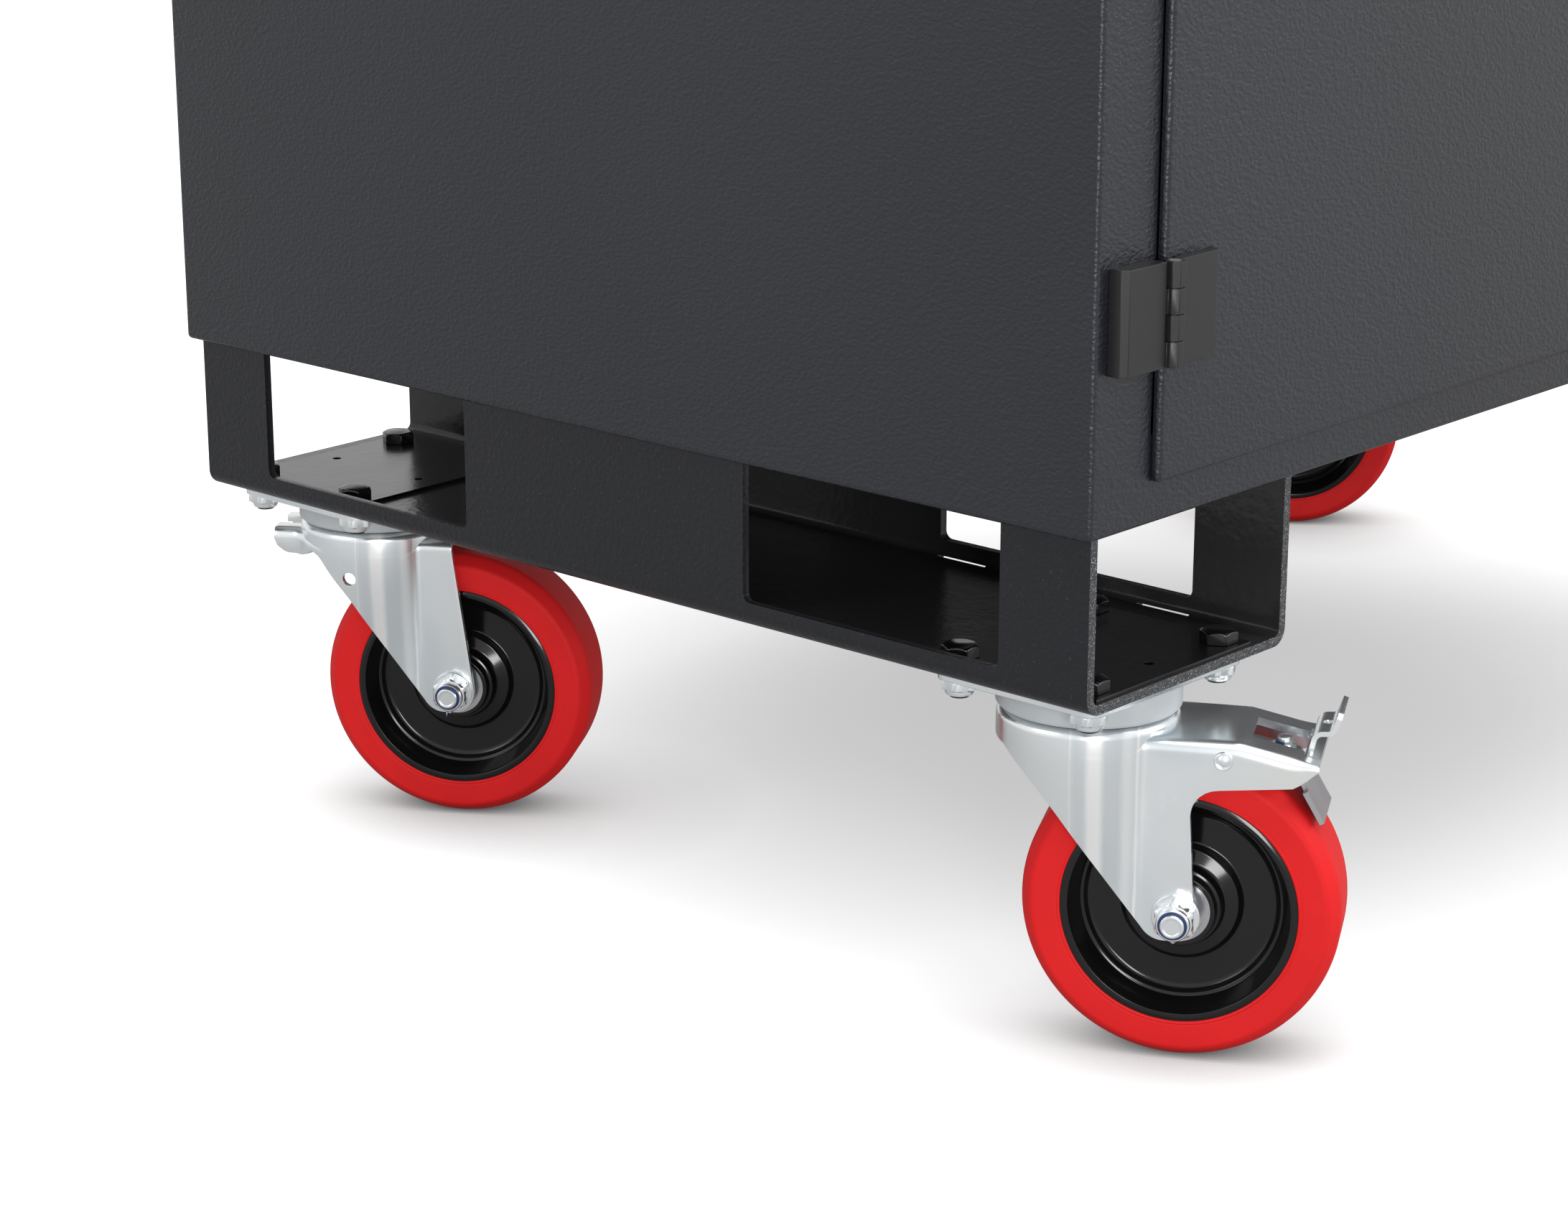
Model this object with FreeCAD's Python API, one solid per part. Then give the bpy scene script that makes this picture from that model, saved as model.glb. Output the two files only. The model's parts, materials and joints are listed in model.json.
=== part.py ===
import FreeCAD, Part
import math
import os

V = FreeCAD.Vector

# Site storage box on skids and castors. Millimetres, +Z up, front towards -Y.
# The origin is on the ground below the middle of the cabinet.

# Cabinet shell
body_width = 1025.0
body_depth = 657.0
body_height = 915.0
sheet = 2.0
body_bend = 3.0
pan_rim = 5.0
stile_width = 47.1
rail_height = 46.0
frame_return = 26.0
frame_bend = 2.2
relief_width = 7.5
relief_height = 9.0
relief_below = 2.0

# Doors
door_proud = 5.0
door_skin = 2.0
door_bend = 3.0
door_back_gap = 0.8
door_side_overlap = 1.4
door_overlap = 25.0
door_meeting_gap = 3.0
stiffener_width = 40.0
stiffener_depth = 18.0
stiffener_wall = 1.5
stiffener_end_gap = 14.0
stiffener_shares = (0.3, 0.7)

# Hinges
hinge_height = 50.0
hinge_end_inset = 57.0
hinge_axis_inset = 46.5
hinge_axis_proud = 10.0
hinge_half_width = 37.0
hinge_chamfer = 3.0
knuckle_count = 4
knuckle_radius = 5.2
knuckle_gap = 0.3
leaf_gap = 1.0
pin_radius = 3.0
running_clearance = 0.05

# Lock, rods and slide bolts
lock_inset = 52.0
escutcheon_width = 44.0
escutcheon_height = 160.0
escutcheon_thickness = 3.0
escutcheon_corner = 8.0
cylinder_radius = 9.0
cylinder_proud = 5.0
cylinder_drop = 48.0
key_slot_width = 2.4
key_slot_height = 9.0
key_slot_depth = 3.0
handle_hub_radius = 12.0
handle_hub_length = 26.0
handle_length = 118.0
handle_width = 20.0
handle_tip_width = 15.0
handle_thickness = 11.0
handle_gap = 0.4
spindle_radius = 5.0
spindle_clearance = 0.4
cam_radius = 26.0
cam_thickness = 4.0
cam_stand_off = 8.0
rod_radius = 5.0
rod_behind_cam = 0.5
rod_start = 5.0
rod_end_gap = 4.0
rod_hole_clearance = 1.0
guide_width = 26.0
guide_height = 22.0
guide_cover = 5.0
guide_clearance = 0.3
guide_inset = 60.0
guide_cam_gap = 64.5
bolt_inset = 45.0
slide_bolt_length = 170.0
slide_bolt_guide_span = 90.0
slide_bolt_guide_inset = 32.0
bolt_knob_radius = 4.0
bolt_knob_length = 16.0

# Shelf
shelf_height = 440.0
shelf_sheet = 1.5
shelf_rim = 25.0
shelf_front_gap = 46.0
shelf_side_gap = 1.0
shelf_rail_leg = 25.0
shelf_rail_wall = 2.0

# Skids
skid_inset = 6.0
skid_front_inset = 3.3
skid_rear_inset = 7.7
skid_width = 163.0
skid_height = 87.5
skid_plate = 5.0
skid_bend = 9.0
window_end_strip = 54.0
window_length = 166.5
window_sill = 13.7
window_corner = 4.5
fold_slot_length = 33.0
fold_slot_depth = 8.0
fold_slot_height = 5.5

# Castor mounting
castor_side_inset = 78.5
castor_front_inset = 57.0
castor_rear_inset = 73.5
bolt_pitch_x = 105.0
bolt_pitch_y = 80.0
mount_bolt_radius = 5.0
mount_hole_clearance = 0.5
mount_hex = 17.0
mount_head_height = 6.4
mount_nut_height = 5.5
mount_nut_collar_radius = 7.2
mount_nut_collar = 2.5
mount_bolt_end = 1.5
packing_side_gap = 0.3
packing_depth = 104.0
packing_thickness = 2.0
pilot_hole_radius = 2.5
pilot_hole_offset = 36.0
top_plate_width = 125.0
top_plate_depth = 100.0
top_plate_thickness = 4.0
top_plate_corner = 8.0

# Castor head and fork; u runs from the swivel axis towards the wheel's trailing side
cup_radius = 46.5
cup_wall = 5.0
cup_height = 21.5
swivel_gap = 0.5
kingpin_radius = 6.0
kingpin_hex = 19.0
kingpin_nut_height = 8.0
kingpin_nut_gap = 0.3
crown_radius = 46.0
crown_thickness = 5.0
fork_wall = 4.0
fork_inside = 58.0
tyre_roof_gap = 6.5
skirt_low_radius = 44.0
crown_round = 8.0
arm_round = 6.0
trail = 50.8
foot_drop = 13.2
foot_left = 12.6
foot_right = 14.4
foot_round = 13.0
shoulder_reach = 36.0
shoulder_drop = 8.5
leg_top_width = 52.0
leg_waist = 5.2
leg_waist_rise = 52.0
arm_root_reach = 57.5
arm_root_drop = 25.5
arm_root_round = 14.0
arm_low_reach = 108.0
arm_low_drop = 20.5
arm_tip_reach = 117.5
arm_tip_drop = 14.5
arm_end_drop = 8.5
arm_kink_reach = 78.0
arm_slot_start = 83.0
arm_slot_width = 30.0
arm_notch_start = 106.0
arm_notch_width = 40.0
leg_hole_radius = 4.0
leg_hole_reach = 6.5
leg_hole_drop = 22.5
tail_reach = 56.0
tail_half_width = 20.0
tail_notch_half_width = 8.0
tail_notch_depth = 11.0
tail_lip_drop = 14.0
tail_lip_round = 12.0
tail_lip_wall = 4.0

# Wheel
wheel_diameter = 160.0
tyre_width = 50.0
tyre_shoulder = 8.0
tyre_shoulder_inset = 8.0
tyre_flank_round = 4.0
tyre_flank_rise = 6.0
rim_radius = 59.2
rim_lip = 3.7
rim_inset = 0.3
rim_draft = 6.0
bond_gap = 0.05
web_half_thickness = 8.5
boss_radius = 27.0
boss_rise = 4.5
hub_radius = 20.0
hub_half_length = 25.2
hub_bore_radius = 10.0
bearing_radius = 16.0
bearing_width = 10.0
bearing_face = 25.0
bearing_seal_recess = 0.8
bearing_ring_wall = 2.6
axle_radius = 6.0
axle_hex = 19.0
axle_head_height = 7.5
axle_nut_height = 8.0
axle_collar_radius = 8.6
axle_collar = 3.5
axle_end = 2.0
washer_radius = 12.0
washer_thickness = 2.0
spacer_radius = 9.0
spacer_gap = 0.4

# Brake of the front castors
pivot_reach = 71.4
pivot_drop = 8.8
rivet_radius = 2.5
rivet_head_radius = 4.5
rivet_head = 2.0
blade_half_width = 14.0
blade_thickness = 2.5
blade_eye_gap = 0.3
blade_bend_reach = 103.0
blade_bend_drop = 16.5
shoe_half_width = 19.0
shoe_top_reach = 109.0
shoe_top_drop = 27.5
shoe_tip_reach = 118.0
shoe_tip_drop = 43.0
screw_hex = 10.0
screw_head = 4.0
screw_reach = 95.0
pedal_reach = 111.0
pedal_drop = 14.5
trunnion_radius = 1.8
pedal_barrel_radius = 3.5
pedal_side_gap = 0.4
pedal_half_width = 16.0
pedal_thickness = 2.5
pedal_knee_reach = 114.8
pedal_knee_rise = 1.4
pedal_step_reach = 123.2
pedal_step_rise = 1.9
pedal_top_reach = 126.9
pedal_top_rise = 13.3
pedal_hole_radius = 2.6

# One margin serves every cut that has to pass a face
overrun = 20.0

# Rest angles of the castors, turned from straight ahead, in degrees
castor_turns = {"front_left": 28.5, "front_right": 30.0, "rear_left": 32.8, "rear_right": 35.4}

# Places worked out from the sizes
left = -body_width / 2
right = body_width / 2
front = -body_depth / 2
back = body_depth / 2
crown_top = wheel_diameter + tyre_roof_gap + crown_thickness
castor_height = crown_top + swivel_gap + cup_height + top_plate_thickness
body_base = castor_height + skid_height
body_top = body_base + body_height
open_left = left + stile_width
open_right = right - stile_width
open_low = body_base + rail_height
open_high = body_top - rail_height
skid_length = body_depth - skid_front_inset - skid_rear_inset
door_face = front - door_proud
door_low = open_low - door_overlap
door_high = open_high + door_overlap
skin_back = door_face + door_skin
wheel_radius = wheel_diameter / 2
leg_outer = fork_inside / 2 + fork_wall


def box(x, y, z):
    """Block between a low and a high value on each axis."""
    return Part.makeBox(x[1] - x[0], y[1] - y[0], z[1] - z[0], V(x[0], y[0], z[0]))


def drum(centre, axis, radius, length):
    """Cylinder that starts at centre and runs along axis."""
    return Part.makeCylinder(radius, length, centre, axis)


def ring(centre, axis, outer, inner, length):
    """Tube that starts at centre and runs along axis."""
    return drum(centre, axis, outer, length).cut(drum(centre, axis, inner, length))


def across(reach, height, radius, half):
    """Cylinder along the axle's direction, from -half to +half."""
    return drum(V(reach, -half, height), V(0, 1, 0), radius, 2 * half)


def rounded_wire(corners, place):
    """Closed wire through corners (a, b) or (a, b, radius), put in space by place(a, b)."""
    flat = [(c[0], c[1], c[2] if len(c) > 2 else 0) for c in corners]
    spans = []
    for i, (a, b, radius) in enumerate(flat):
        here = V(a, b, 0)
        before = V(flat[i - 1][0], flat[i - 1][1], 0) - here
        after = V(flat[(i + 1) % len(flat)][0], flat[(i + 1) % len(flat)][1], 0) - here
        before.normalize()
        after.normalize()
        if radius == 0:
            spans.append((here, here, here))
            continue
        half = before.getAngle(after) / 2
        middle = before + after
        middle.normalize()
        centre = here + middle * (radius / math.sin(half))
        reach = radius / math.tan(half)
        spans.append((here + before * reach, centre - middle * radius, here + after * reach))
    edges = []
    for i, (start, bulge, end) in enumerate(spans):
        at = [place(p.x, p.y) for p in (start, bulge, end)]
        if start != end:
            edges.append(Part.Arc(*at).toShape())
        following = spans[(i + 1) % len(spans)][0]
        edges.append(Part.LineSegment(at[2], place(following.x, following.y)).toShape())
    return Part.Wire(edges)


def prism(corners, place, direction):
    """Solid swept from a closed outline along direction."""
    return Part.Face(rounded_wire(corners, place)).extrude(direction)


def turned(corners, centre):
    """Solid turned about the axle from an outline of radius and offset."""
    face = Part.Face(rounded_wire(corners, lambda r, h: V(centre.x, h, centre.z + r)))
    return face.revolve(centre, V(0, 1, 0), 360)


def hexagon(centre, axis, flats, height):
    """Hexagon prism with its far corners taken off, from centre along axis."""
    corner = flats / 2 / math.cos(math.pi / 6)
    side = V(0, 0, 1).cross(axis) if abs(axis.z) < abs(axis.x) + abs(axis.y) else V(1, 0, 0)
    other = axis.cross(side)
    points = []
    for i in range(6):
        turn = math.radians(60 * i)
        points.append(centre + side * (corner * math.cos(turn)) + other * (corner * math.sin(turn)))
    prism_body = Part.Face(Part.makePolygon(points + points[:1])).extrude(axis * height)
    tip_share = 0.95
    tip = flats / 2 * tip_share
    return prism_body.common(Part.makeCone(tip + height * math.tan(math.pi / 3), tip, height, centre, axis))


def edges_on(shape, test):
    """Straight edges whose ends and middle pass a test."""
    found = []
    for edge in shape.Edges:
        if all(test(point) for point in [vertex.Point for vertex in edge.Vertexes] + [edge.CenterOfMass]):
            found.append(edge)
    return found


def near(value, target):
    """True where two coordinates agree."""
    return abs(value - target) < running_clearance / 2


def pan(x, y, z, wall, bend, axis, face):
    """Tray of sheet with rounded bends; its closed face lies at coordinate face on axis 1 (Y) or 2 (Z)."""
    outer = box(x, y, z)
    spans = [x, y, z]
    inner_spans = [(low + wall, high - wall) for low, high in spans]
    low, high = spans[axis]
    inner_spans[axis] = (low + wall, high + overrun) if near(face, low) else (low - overrun, high - wall)
    inner = box(*inner_spans)
    inner_face = low + wall if near(face, low) else high - wall

    def bends(shape, at):
        other = [i for i in (0, 1, 2) if i != axis]
        chosen = edges_on(shape, lambda p: near(p[axis], at))
        for edge in shape.Edges:
            ends = [vertex.Point for vertex in edge.Vertexes]
            if all(near(ends[0][i], ends[1][i]) for i in other):
                chosen.append(edge)
        return chosen

    outer = outer.makeFillet(bend, bends(outer, face))
    inner = inner.makeFillet(bend - wall, bends(inner, inner_face))
    return outer.cut(inner)


def compound(shapes):
    """Separate solids kept together under one name."""
    return Part.makeCompound(shapes)


def mirrored(shape):
    """Mirror image about the cabinet's middle plane."""
    return shape.mirror(V(0, 0, 0), V(1, 0, 0))


# Cabinet shell

def shell_wall():
    """Upright wall of the cabinet, all four sides, with rounded corners."""
    z = (body_base + pan_rim, body_top - pan_rim)

    def outline(inset, bend):
        x, y = right - inset, back - inset
        corners = [(-x, -y, bend), (x, -y, bend), (x, y, bend), (-x, y, bend)]
        return prism(corners, lambda a, b: V(a, b, z[0]), V(0, 0, z[1] - z[0]))

    return outline(0, body_bend).cut(outline(sheet, body_bend - sheet))


def side_panel():
    """Left side sheet, folded a little way round the front and back corners."""
    return shell_wall().common(box((left, left + body_bend), (front, back), (body_base, body_top)))


def back_panel():
    """Back sheet between the side panels' bends."""
    return shell_wall().common(
        box((left + body_bend, right - body_bend), (back - body_bend, back), (body_base, body_top)))


def front_frame():
    """Face sheet with the door opening, its inward returns, corner reliefs and rod holes."""
    plate = box((left + body_bend, right - body_bend), (front, front + sheet),
                (body_base + pan_rim, body_top - pan_rim))
    opening = box((open_left, open_right), (front - overrun, back), (open_low, open_high))
    returns = box((open_left - sheet, open_right + sheet), (front, front + frame_return),
                  (open_low - sheet, open_high + sheet))
    frame = plate.fuse(returns).removeSplitter().cut(opening)
    edges = edges_on(frame, lambda p: near(p.y, front) and open_left - sheet < p.x < open_right + sheet
                     and open_low - sheet < p.z < open_high + sheet)
    frame = frame.makeFillet(frame_bend, edges)
    for x in (open_left - sheet, open_right + sheet - relief_width):
        for z in (open_low - relief_below, open_high + relief_below - relief_height):
            frame = frame.cut(box((x, x + relief_width), (front - overrun, front + frame_return),
                                  (z, z + relief_height)))
    for x in (lock_x, bolt_x):
        for z in (open_low - overrun, open_high - overrun):
            frame = frame.cut(drum(V(x, rod_y, z), V(0, 0, 1), rod_radius + rod_hole_clearance, 2 * overrun))
    return frame


def roof_panel():
    """Roof tray, open below, seated on the walls."""
    return pan((left, right), (front, back), (body_top - pan_rim, body_top), sheet, body_bend, 2, body_top)


def floor_panel():
    """Floor tray, open above, under the walls."""
    return pan((left, right), (front, back), (body_base, body_base + pan_rim), sheet, body_bend, 2, body_base)


# Shelf

shelf_top = body_base + shelf_height
shelf_side = right - sheet - shelf_side_gap


def shelf():
    """Steel shelf with turned-down rims."""
    return pan((-shelf_side, shelf_side), (front + shelf_front_gap, back - sheet - shelf_side_gap),
               (shelf_top - shelf_rim, shelf_top), shelf_sheet, body_bend, 2, shelf_top)


def shelf_rails():
    """Angle on each side wall that carries the shelf's rims."""
    x = left + sheet
    y = (front + shelf_front_gap, back - sheet)
    z = shelf_top - shelf_rim
    rail = box((x, x + shelf_rail_leg), y, (z - shelf_rail_leg, z))
    rail = rail.cut(box((x + shelf_rail_wall, x + shelf_rail_leg + overrun), y,
                        (z - shelf_rail_leg - overrun, z - shelf_rail_wall)))
    return compound([rail, mirrored(rail)])


# Doors

door_out = open_left - door_side_overlap
door_in = -door_meeting_gap / 2
lock_x = door_meeting_gap / 2 + lock_inset
bolt_x = -door_meeting_gap / 2 - bolt_inset
lock_z = (door_low + door_high) / 2
cam_front = skin_back + cam_stand_off
rod_y = cam_front + cam_thickness + rod_behind_cam + rod_radius


def door_skin_pan():
    """Left door: shallow tray with rounded edges, standing proud of the frame."""
    return pan((door_out, door_in), (door_face, front - door_back_gap), (door_low, door_high),
               door_skin, door_bend, 1, door_face)


def door_stiffeners():
    """Upright channels on the inside of the left door."""
    channels = []
    z = (open_low + stiffener_end_gap, open_high - stiffener_end_gap)
    for share in stiffener_shares:
        x = door_out + (door_in - door_out) * share
        half = stiffener_width / 2
        y = (skin_back, skin_back + stiffener_depth)
        outer = box((x - half, x + half), y, z)
        inner = box((x - half + stiffener_wall, x + half - stiffener_wall), (y[0], y[1] - stiffener_wall), z)
        channels.append(outer.cut(inner))
    return channels


hinge_x = left + hinge_axis_inset
hinge_y = front - hinge_axis_proud
hinge_lows = (door_low + hinge_end_inset, door_high - hinge_end_inset - hinge_height)


def knuckle(low, index):
    """Eight-sided hinge knuckle with its pin hole, without a leaf; counted from the top."""
    pitch = hinge_height / knuckle_count
    top = low + hinge_height - pitch * index
    trim_top = 0 if index == 0 else knuckle_gap / 2
    trim_low = 0 if index == knuckle_count - 1 else knuckle_gap / 2
    z = (top - pitch + trim_low, top - trim_top)
    points = []
    for i in range(8):
        turn = math.radians(45 * i + 45 / 2)
        points.append((hinge_x + knuckle_radius * math.cos(turn), hinge_y + knuckle_radius * math.sin(turn)))
    body = prism(points, lambda a, b: V(a, b, z[0]), V(0, 0, z[1] - z[0]))
    return body, z


def hinge_leaf(low, on_door):
    """One leaf of a block hinge: a chamfered plate and every second knuckle."""
    start = hinge_x + knuckle_radius + leaf_gap
    end = hinge_x + hinge_half_width
    rear = door_face if on_door else front
    face = hinge_y
    outline = [(start, rear), (end, rear), (end, face + hinge_chamfer), (end - hinge_chamfer, face),
               (start, face)]
    if not on_door:
        outline = [(2 * hinge_x - a, b) for a, b in outline]
    leaf = prism(outline, lambda a, b: V(a, b, low), V(0, 0, hinge_height))
    bridge_rear = hinge_y + knuckle_radius * math.cos(math.pi / 4)
    for index in range(knuckle_count):
        if (index % 2 == 0) != on_door:
            continue
        body, z = knuckle(low, index)
        reach = (hinge_x, start) if on_door else (2 * hinge_x - start, hinge_x)
        leaf = leaf.fuse(body).fuse(box(reach, (face, bridge_rear), z))
    hole = drum(V(hinge_x, hinge_y, low - overrun), V(0, 0, 1), pin_radius + running_clearance,
                hinge_height + 2 * overrun)
    return leaf.cut(hole).removeSplitter()


def hinge_pin(low):
    """Hinge pin, as long as the knuckles."""
    return drum(V(hinge_x, hinge_y, low), V(0, 0, 1), pin_radius, hinge_height)


# Lock and bolts

def escutcheon():
    """Lock plate with its key cylinder, on the face of the right door."""
    half_w, half_h = escutcheon_width / 2, escutcheon_height / 2
    corners = [(-half_w, -half_h), (half_w, -half_h), (half_w, half_h), (-half_w, half_h)]
    corners = [(lock_x + a, lock_z + b, escutcheon_corner) for a, b in corners]
    plate = prism(corners, lambda a, b: V(a, door_face, b), V(0, -escutcheon_thickness, 0))
    face = door_face - escutcheon_thickness
    at = V(lock_x, door_face, lock_z - cylinder_drop)
    plate = plate.fuse(drum(at, V(0, -1, 0), cylinder_radius, escutcheon_thickness + cylinder_proud))
    tip = face - cylinder_proud
    plate = plate.cut(box((at.x - key_slot_width / 2, at.x + key_slot_width / 2), (tip, tip + key_slot_depth),
                          (at.z - key_slot_height / 2, at.z + key_slot_height / 2)))
    return plate.cut(spindle_hole())


def spindle_hole():
    """Clearance hole for the handle's spindle."""
    return drum(V(lock_x, door_face - overrun, lock_z), V(0, 1, 0), spindle_radius + spindle_clearance,
                2 * overrun)


def lock_handle():
    """Lever, hub and spindle; the lever points right while the rods are drawn back."""
    start = door_face - escutcheon_thickness - handle_gap
    hub = drum(V(lock_x, start, lock_z), V(0, -1, 0), handle_hub_radius, handle_hub_length)
    outer = start - handle_hub_length
    half, tip = handle_width / 2, handle_tip_width / 2
    end = lock_x + handle_length
    corners = [(lock_x - half, lock_z - half, half), (end, lock_z - tip, tip), (end, lock_z + tip, tip),
               (lock_x - half, lock_z + half, half)]
    lever = prism(corners, lambda a, b: V(a, outer, b), V(0, handle_thickness, 0))
    spindle = drum(V(lock_x, start, lock_z), V(0, 1, 0), spindle_radius, cam_front - start)
    return hub.fuse(lever).fuse(spindle).removeSplitter()


def lock_cam():
    """Cam disc on the inner end of the spindle."""
    return drum(V(lock_x, cam_front, lock_z), V(0, 1, 0), cam_radius, cam_thickness)


def lock_rods():
    """Upper and lower rods, drawn back clear of the frame."""
    upper_end, lower_end = open_high - rod_end_gap, open_low + rod_end_gap
    upper = drum(V(lock_x, rod_y, lock_z + rod_start), V(0, 0, 1), rod_radius, upper_end - lock_z - rod_start)
    lower = drum(V(lock_x, rod_y, lower_end), V(0, 0, 1), rod_radius, lock_z - rod_start - lower_end)
    return upper, lower


def rod_guide(x, z):
    """Block on the door's inside with a bore for a rod, centred at height z."""
    half_w, half_h = guide_width / 2, guide_height / 2
    block = box((x - half_w, x + half_w), (skin_back, rod_y + rod_radius + guide_cover),
                (z - half_h, z + half_h))
    return block.cut(drum(V(x, rod_y, z - guide_height), V(0, 0, 1), rod_radius + guide_clearance,
                          2 * guide_height))


def rod_guides():
    """Guides of both lock rods."""
    from_lock = cam_radius + guide_cam_gap + guide_height / 2
    places = [open_low + guide_inset, lock_z - from_lock, lock_z + from_lock, open_high - guide_inset]
    return compound([rod_guide(lock_x, z) for z in places])


def slide_bolt(upper):
    """Slide bolt of the left door with its finger knob."""
    low = open_high - rod_end_gap - slide_bolt_length if upper else open_low + rod_end_gap
    bar = drum(V(bolt_x, rod_y, low), V(0, 0, 1), rod_radius, slide_bolt_length)
    knob_inset = rod_radius + bolt_knob_radius
    knob_z = low + knob_inset if upper else low + slide_bolt_length - knob_inset
    return bar.fuse(drum(V(bolt_x, rod_y, knob_z), V(0, 1, 0), bolt_knob_radius, bolt_knob_length))


def slide_bolt_guides():
    """Two guides for each slide bolt."""
    places = []
    for inset in (slide_bolt_guide_inset, slide_bolt_guide_inset + slide_bolt_guide_span):
        places += [open_high - inset, open_low + inset]
    return compound([rod_guide(bolt_x, z) for z in places])


# Skids

def skid():
    """Left skid: folded channel with fork windows in both flanges and slots along the inner fold."""
    x0 = left + skid_inset
    x1 = x0 + skid_width
    y0 = front + skid_front_inset
    low, high = castor_height, body_base
    inner_bend = skid_bend - skid_plate
    corners = [(x0, high), (x0, low, skid_bend), (x1, low, skid_bend), (x1, high), (x1 - skid_plate, high),
               (x1 - skid_plate, low + skid_plate, inner_bend),
               (x0 + skid_plate, low + skid_plate, inner_bend), (x0 + skid_plate, high)]
    channel = prism(corners, lambda a, b: V(a, y0, b), V(0, skid_length, 0))
    for start in (window_end_strip, skid_length - window_end_strip - window_length):
        w0 = y0 + start
        w1 = w0 + window_length
        sill = low + window_sill
        corners = [(w0, sill, window_corner), (w1, sill, window_corner), (w1, high + overrun),
                   (w0, high + overrun)]
        channel = channel.cut(prism(corners, lambda a, b: V(x0 - overrun, a, b),
                                    V(skid_width + 2 * overrun, 0, 0)))
        for s0 in (w0, w1 - fold_slot_length):
            channel = channel.cut(box((x1 - fold_slot_depth, x1 + overrun), (s0, s0 + fold_slot_length),
                                      (low - overrun, low + fold_slot_height)))
    for at in castor_places(left_side=True):
        for bolt in bolt_places(at):
            channel = channel.cut(mount_hole(bolt))
    return channel


# Castor mounting

def castor_places(left_side=None):
    """Swivel axes of the castors as points on the ground."""
    places = {}
    for name in castor_turns:
        on_left = name.endswith("left")
        if left_side is not None and on_left != left_side:
            continue
        x = left + castor_side_inset if on_left else right - castor_side_inset
        y = front + castor_front_inset if name.startswith("front") else back - castor_rear_inset
        places[name] = V(x, y, 0)
    return list(places.values()) if left_side is not None else places


def bolt_places(at):
    """The four bolts round one swivel axis."""
    return [at + V(sx * bolt_pitch_x / 2, sy * bolt_pitch_y / 2, 0) for sx in (-1, 1) for sy in (-1, 1)]


def mount_hole(at):
    """Bolt hole through plates and web."""
    return drum(V(at.x, at.y, castor_height - overrun), V(0, 0, 1), mount_bolt_radius + mount_hole_clearance,
                2 * overrun)


packing_width = 2 * (castor_side_inset - skid_inset - skid_bend - packing_side_gap)
packing_low = castor_height + skid_plate
packing_high = packing_low + packing_thickness
plate_low = castor_height - top_plate_thickness


def packing_plate(at):
    """Packing plate on the web, with bolt holes and two pilot holes."""
    half_w, half_d = packing_width / 2, packing_depth / 2
    plate = box((at.x - half_w, at.x + half_w), (at.y - half_d, at.y + half_d), (packing_low, packing_high))
    for bolt in bolt_places(at):
        plate = plate.cut(mount_hole(bolt))
    for side in (-1, 1):
        plate = plate.cut(drum(V(at.x, at.y + side * pilot_hole_offset, packing_low - overrun), V(0, 0, 1),
                               pilot_hole_radius, 2 * overrun))
    return plate


def mount_bolt(at):
    """Hexagon bolt, head on the packing plate."""
    low = plate_low - mount_nut_height - mount_nut_collar - mount_bolt_end
    shank = drum(V(at.x, at.y, low), V(0, 0, 1), mount_bolt_radius, packing_high - low)
    return shank.fuse(hexagon(V(at.x, at.y, packing_high), V(0, 0, 1), mount_hex, mount_head_height))


def mount_nut(at):
    """Lock nut below the castor's top plate."""
    nut = hexagon(V(at.x, at.y, plate_low), V(0, 0, -1), mount_hex, mount_nut_height)
    nut = nut.fuse(drum(V(at.x, at.y, plate_low - mount_nut_height), V(0, 0, -1), mount_nut_collar_radius,
                        mount_nut_collar))
    return nut.cut(drum(V(at.x, at.y, plate_low + overrun), V(0, 0, -1),
                        mount_bolt_radius + running_clearance, 2 * overrun))


def top_plate(at):
    """Castor top plate below the web."""
    half_w, half_d, corner = top_plate_width / 2, top_plate_depth / 2, top_plate_corner
    corners = [(-half_w, -half_d, corner), (half_w, -half_d, corner), (half_w, half_d, corner),
               (-half_w, half_d, corner)]
    plate = prism(corners, lambda a, b: V(at.x + a, at.y + b, plate_low), V(0, 0, top_plate_thickness))
    for bolt in bolt_places(at):
        plate = plate.cut(mount_hole(bolt))
    return plate.cut(drum(V(at.x, at.y, plate_low - overrun), V(0, 0, 1), kingpin_radius + running_clearance,
                          2 * overrun))


def swivel_cup(at):
    """Cup of the ball race, fixed below the top plate."""
    return ring(V(at.x, at.y, plate_low - cup_height), V(0, 0, 1), cup_radius, cup_radius - cup_wall,
                cup_height)


def kingpin(at):
    """Kingpin through plate and crown, with its nut below the crown."""
    nut_top = crown_top - crown_thickness - kingpin_nut_gap
    low = nut_top - kingpin_nut_height
    pin = drum(V(at.x, at.y, low), V(0, 0, 1), kingpin_radius, castor_height - low)
    return pin.fuse(hexagon(V(at.x, at.y, nut_top), V(0, 0, -1), kingpin_hex, kingpin_nut_height))


# Castors, built with the swivel axis at the origin and the wheel trailing towards +X

axle = V(trail, 0, wheel_radius)


def fork_outline(braked):
    """Side outline of the fork, reach and height, clockwise from the crown's leading end."""
    foot = wheel_radius - foot_drop
    outline = [(-crown_radius, crown_top)]
    if braked:
        outline += [(arm_kink_reach, crown_top), (arm_tip_reach, crown_top - arm_end_drop),
                    (arm_tip_reach, crown_top - arm_tip_drop), (arm_low_reach, crown_top - arm_low_drop),
                    (arm_root_reach, crown_top - arm_root_drop, arm_root_round),
                    (trail + leg_waist, wheel_radius + leg_waist_rise)]
    else:
        outline += [(leg_top_width, crown_top)]
    outline += [(trail + foot_right, foot, foot_round), (trail - foot_left, foot, foot_round),
                (-shoulder_reach, crown_top - shoulder_drop), (-crown_radius, crown_top - crown_thickness)]
    return outline


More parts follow.
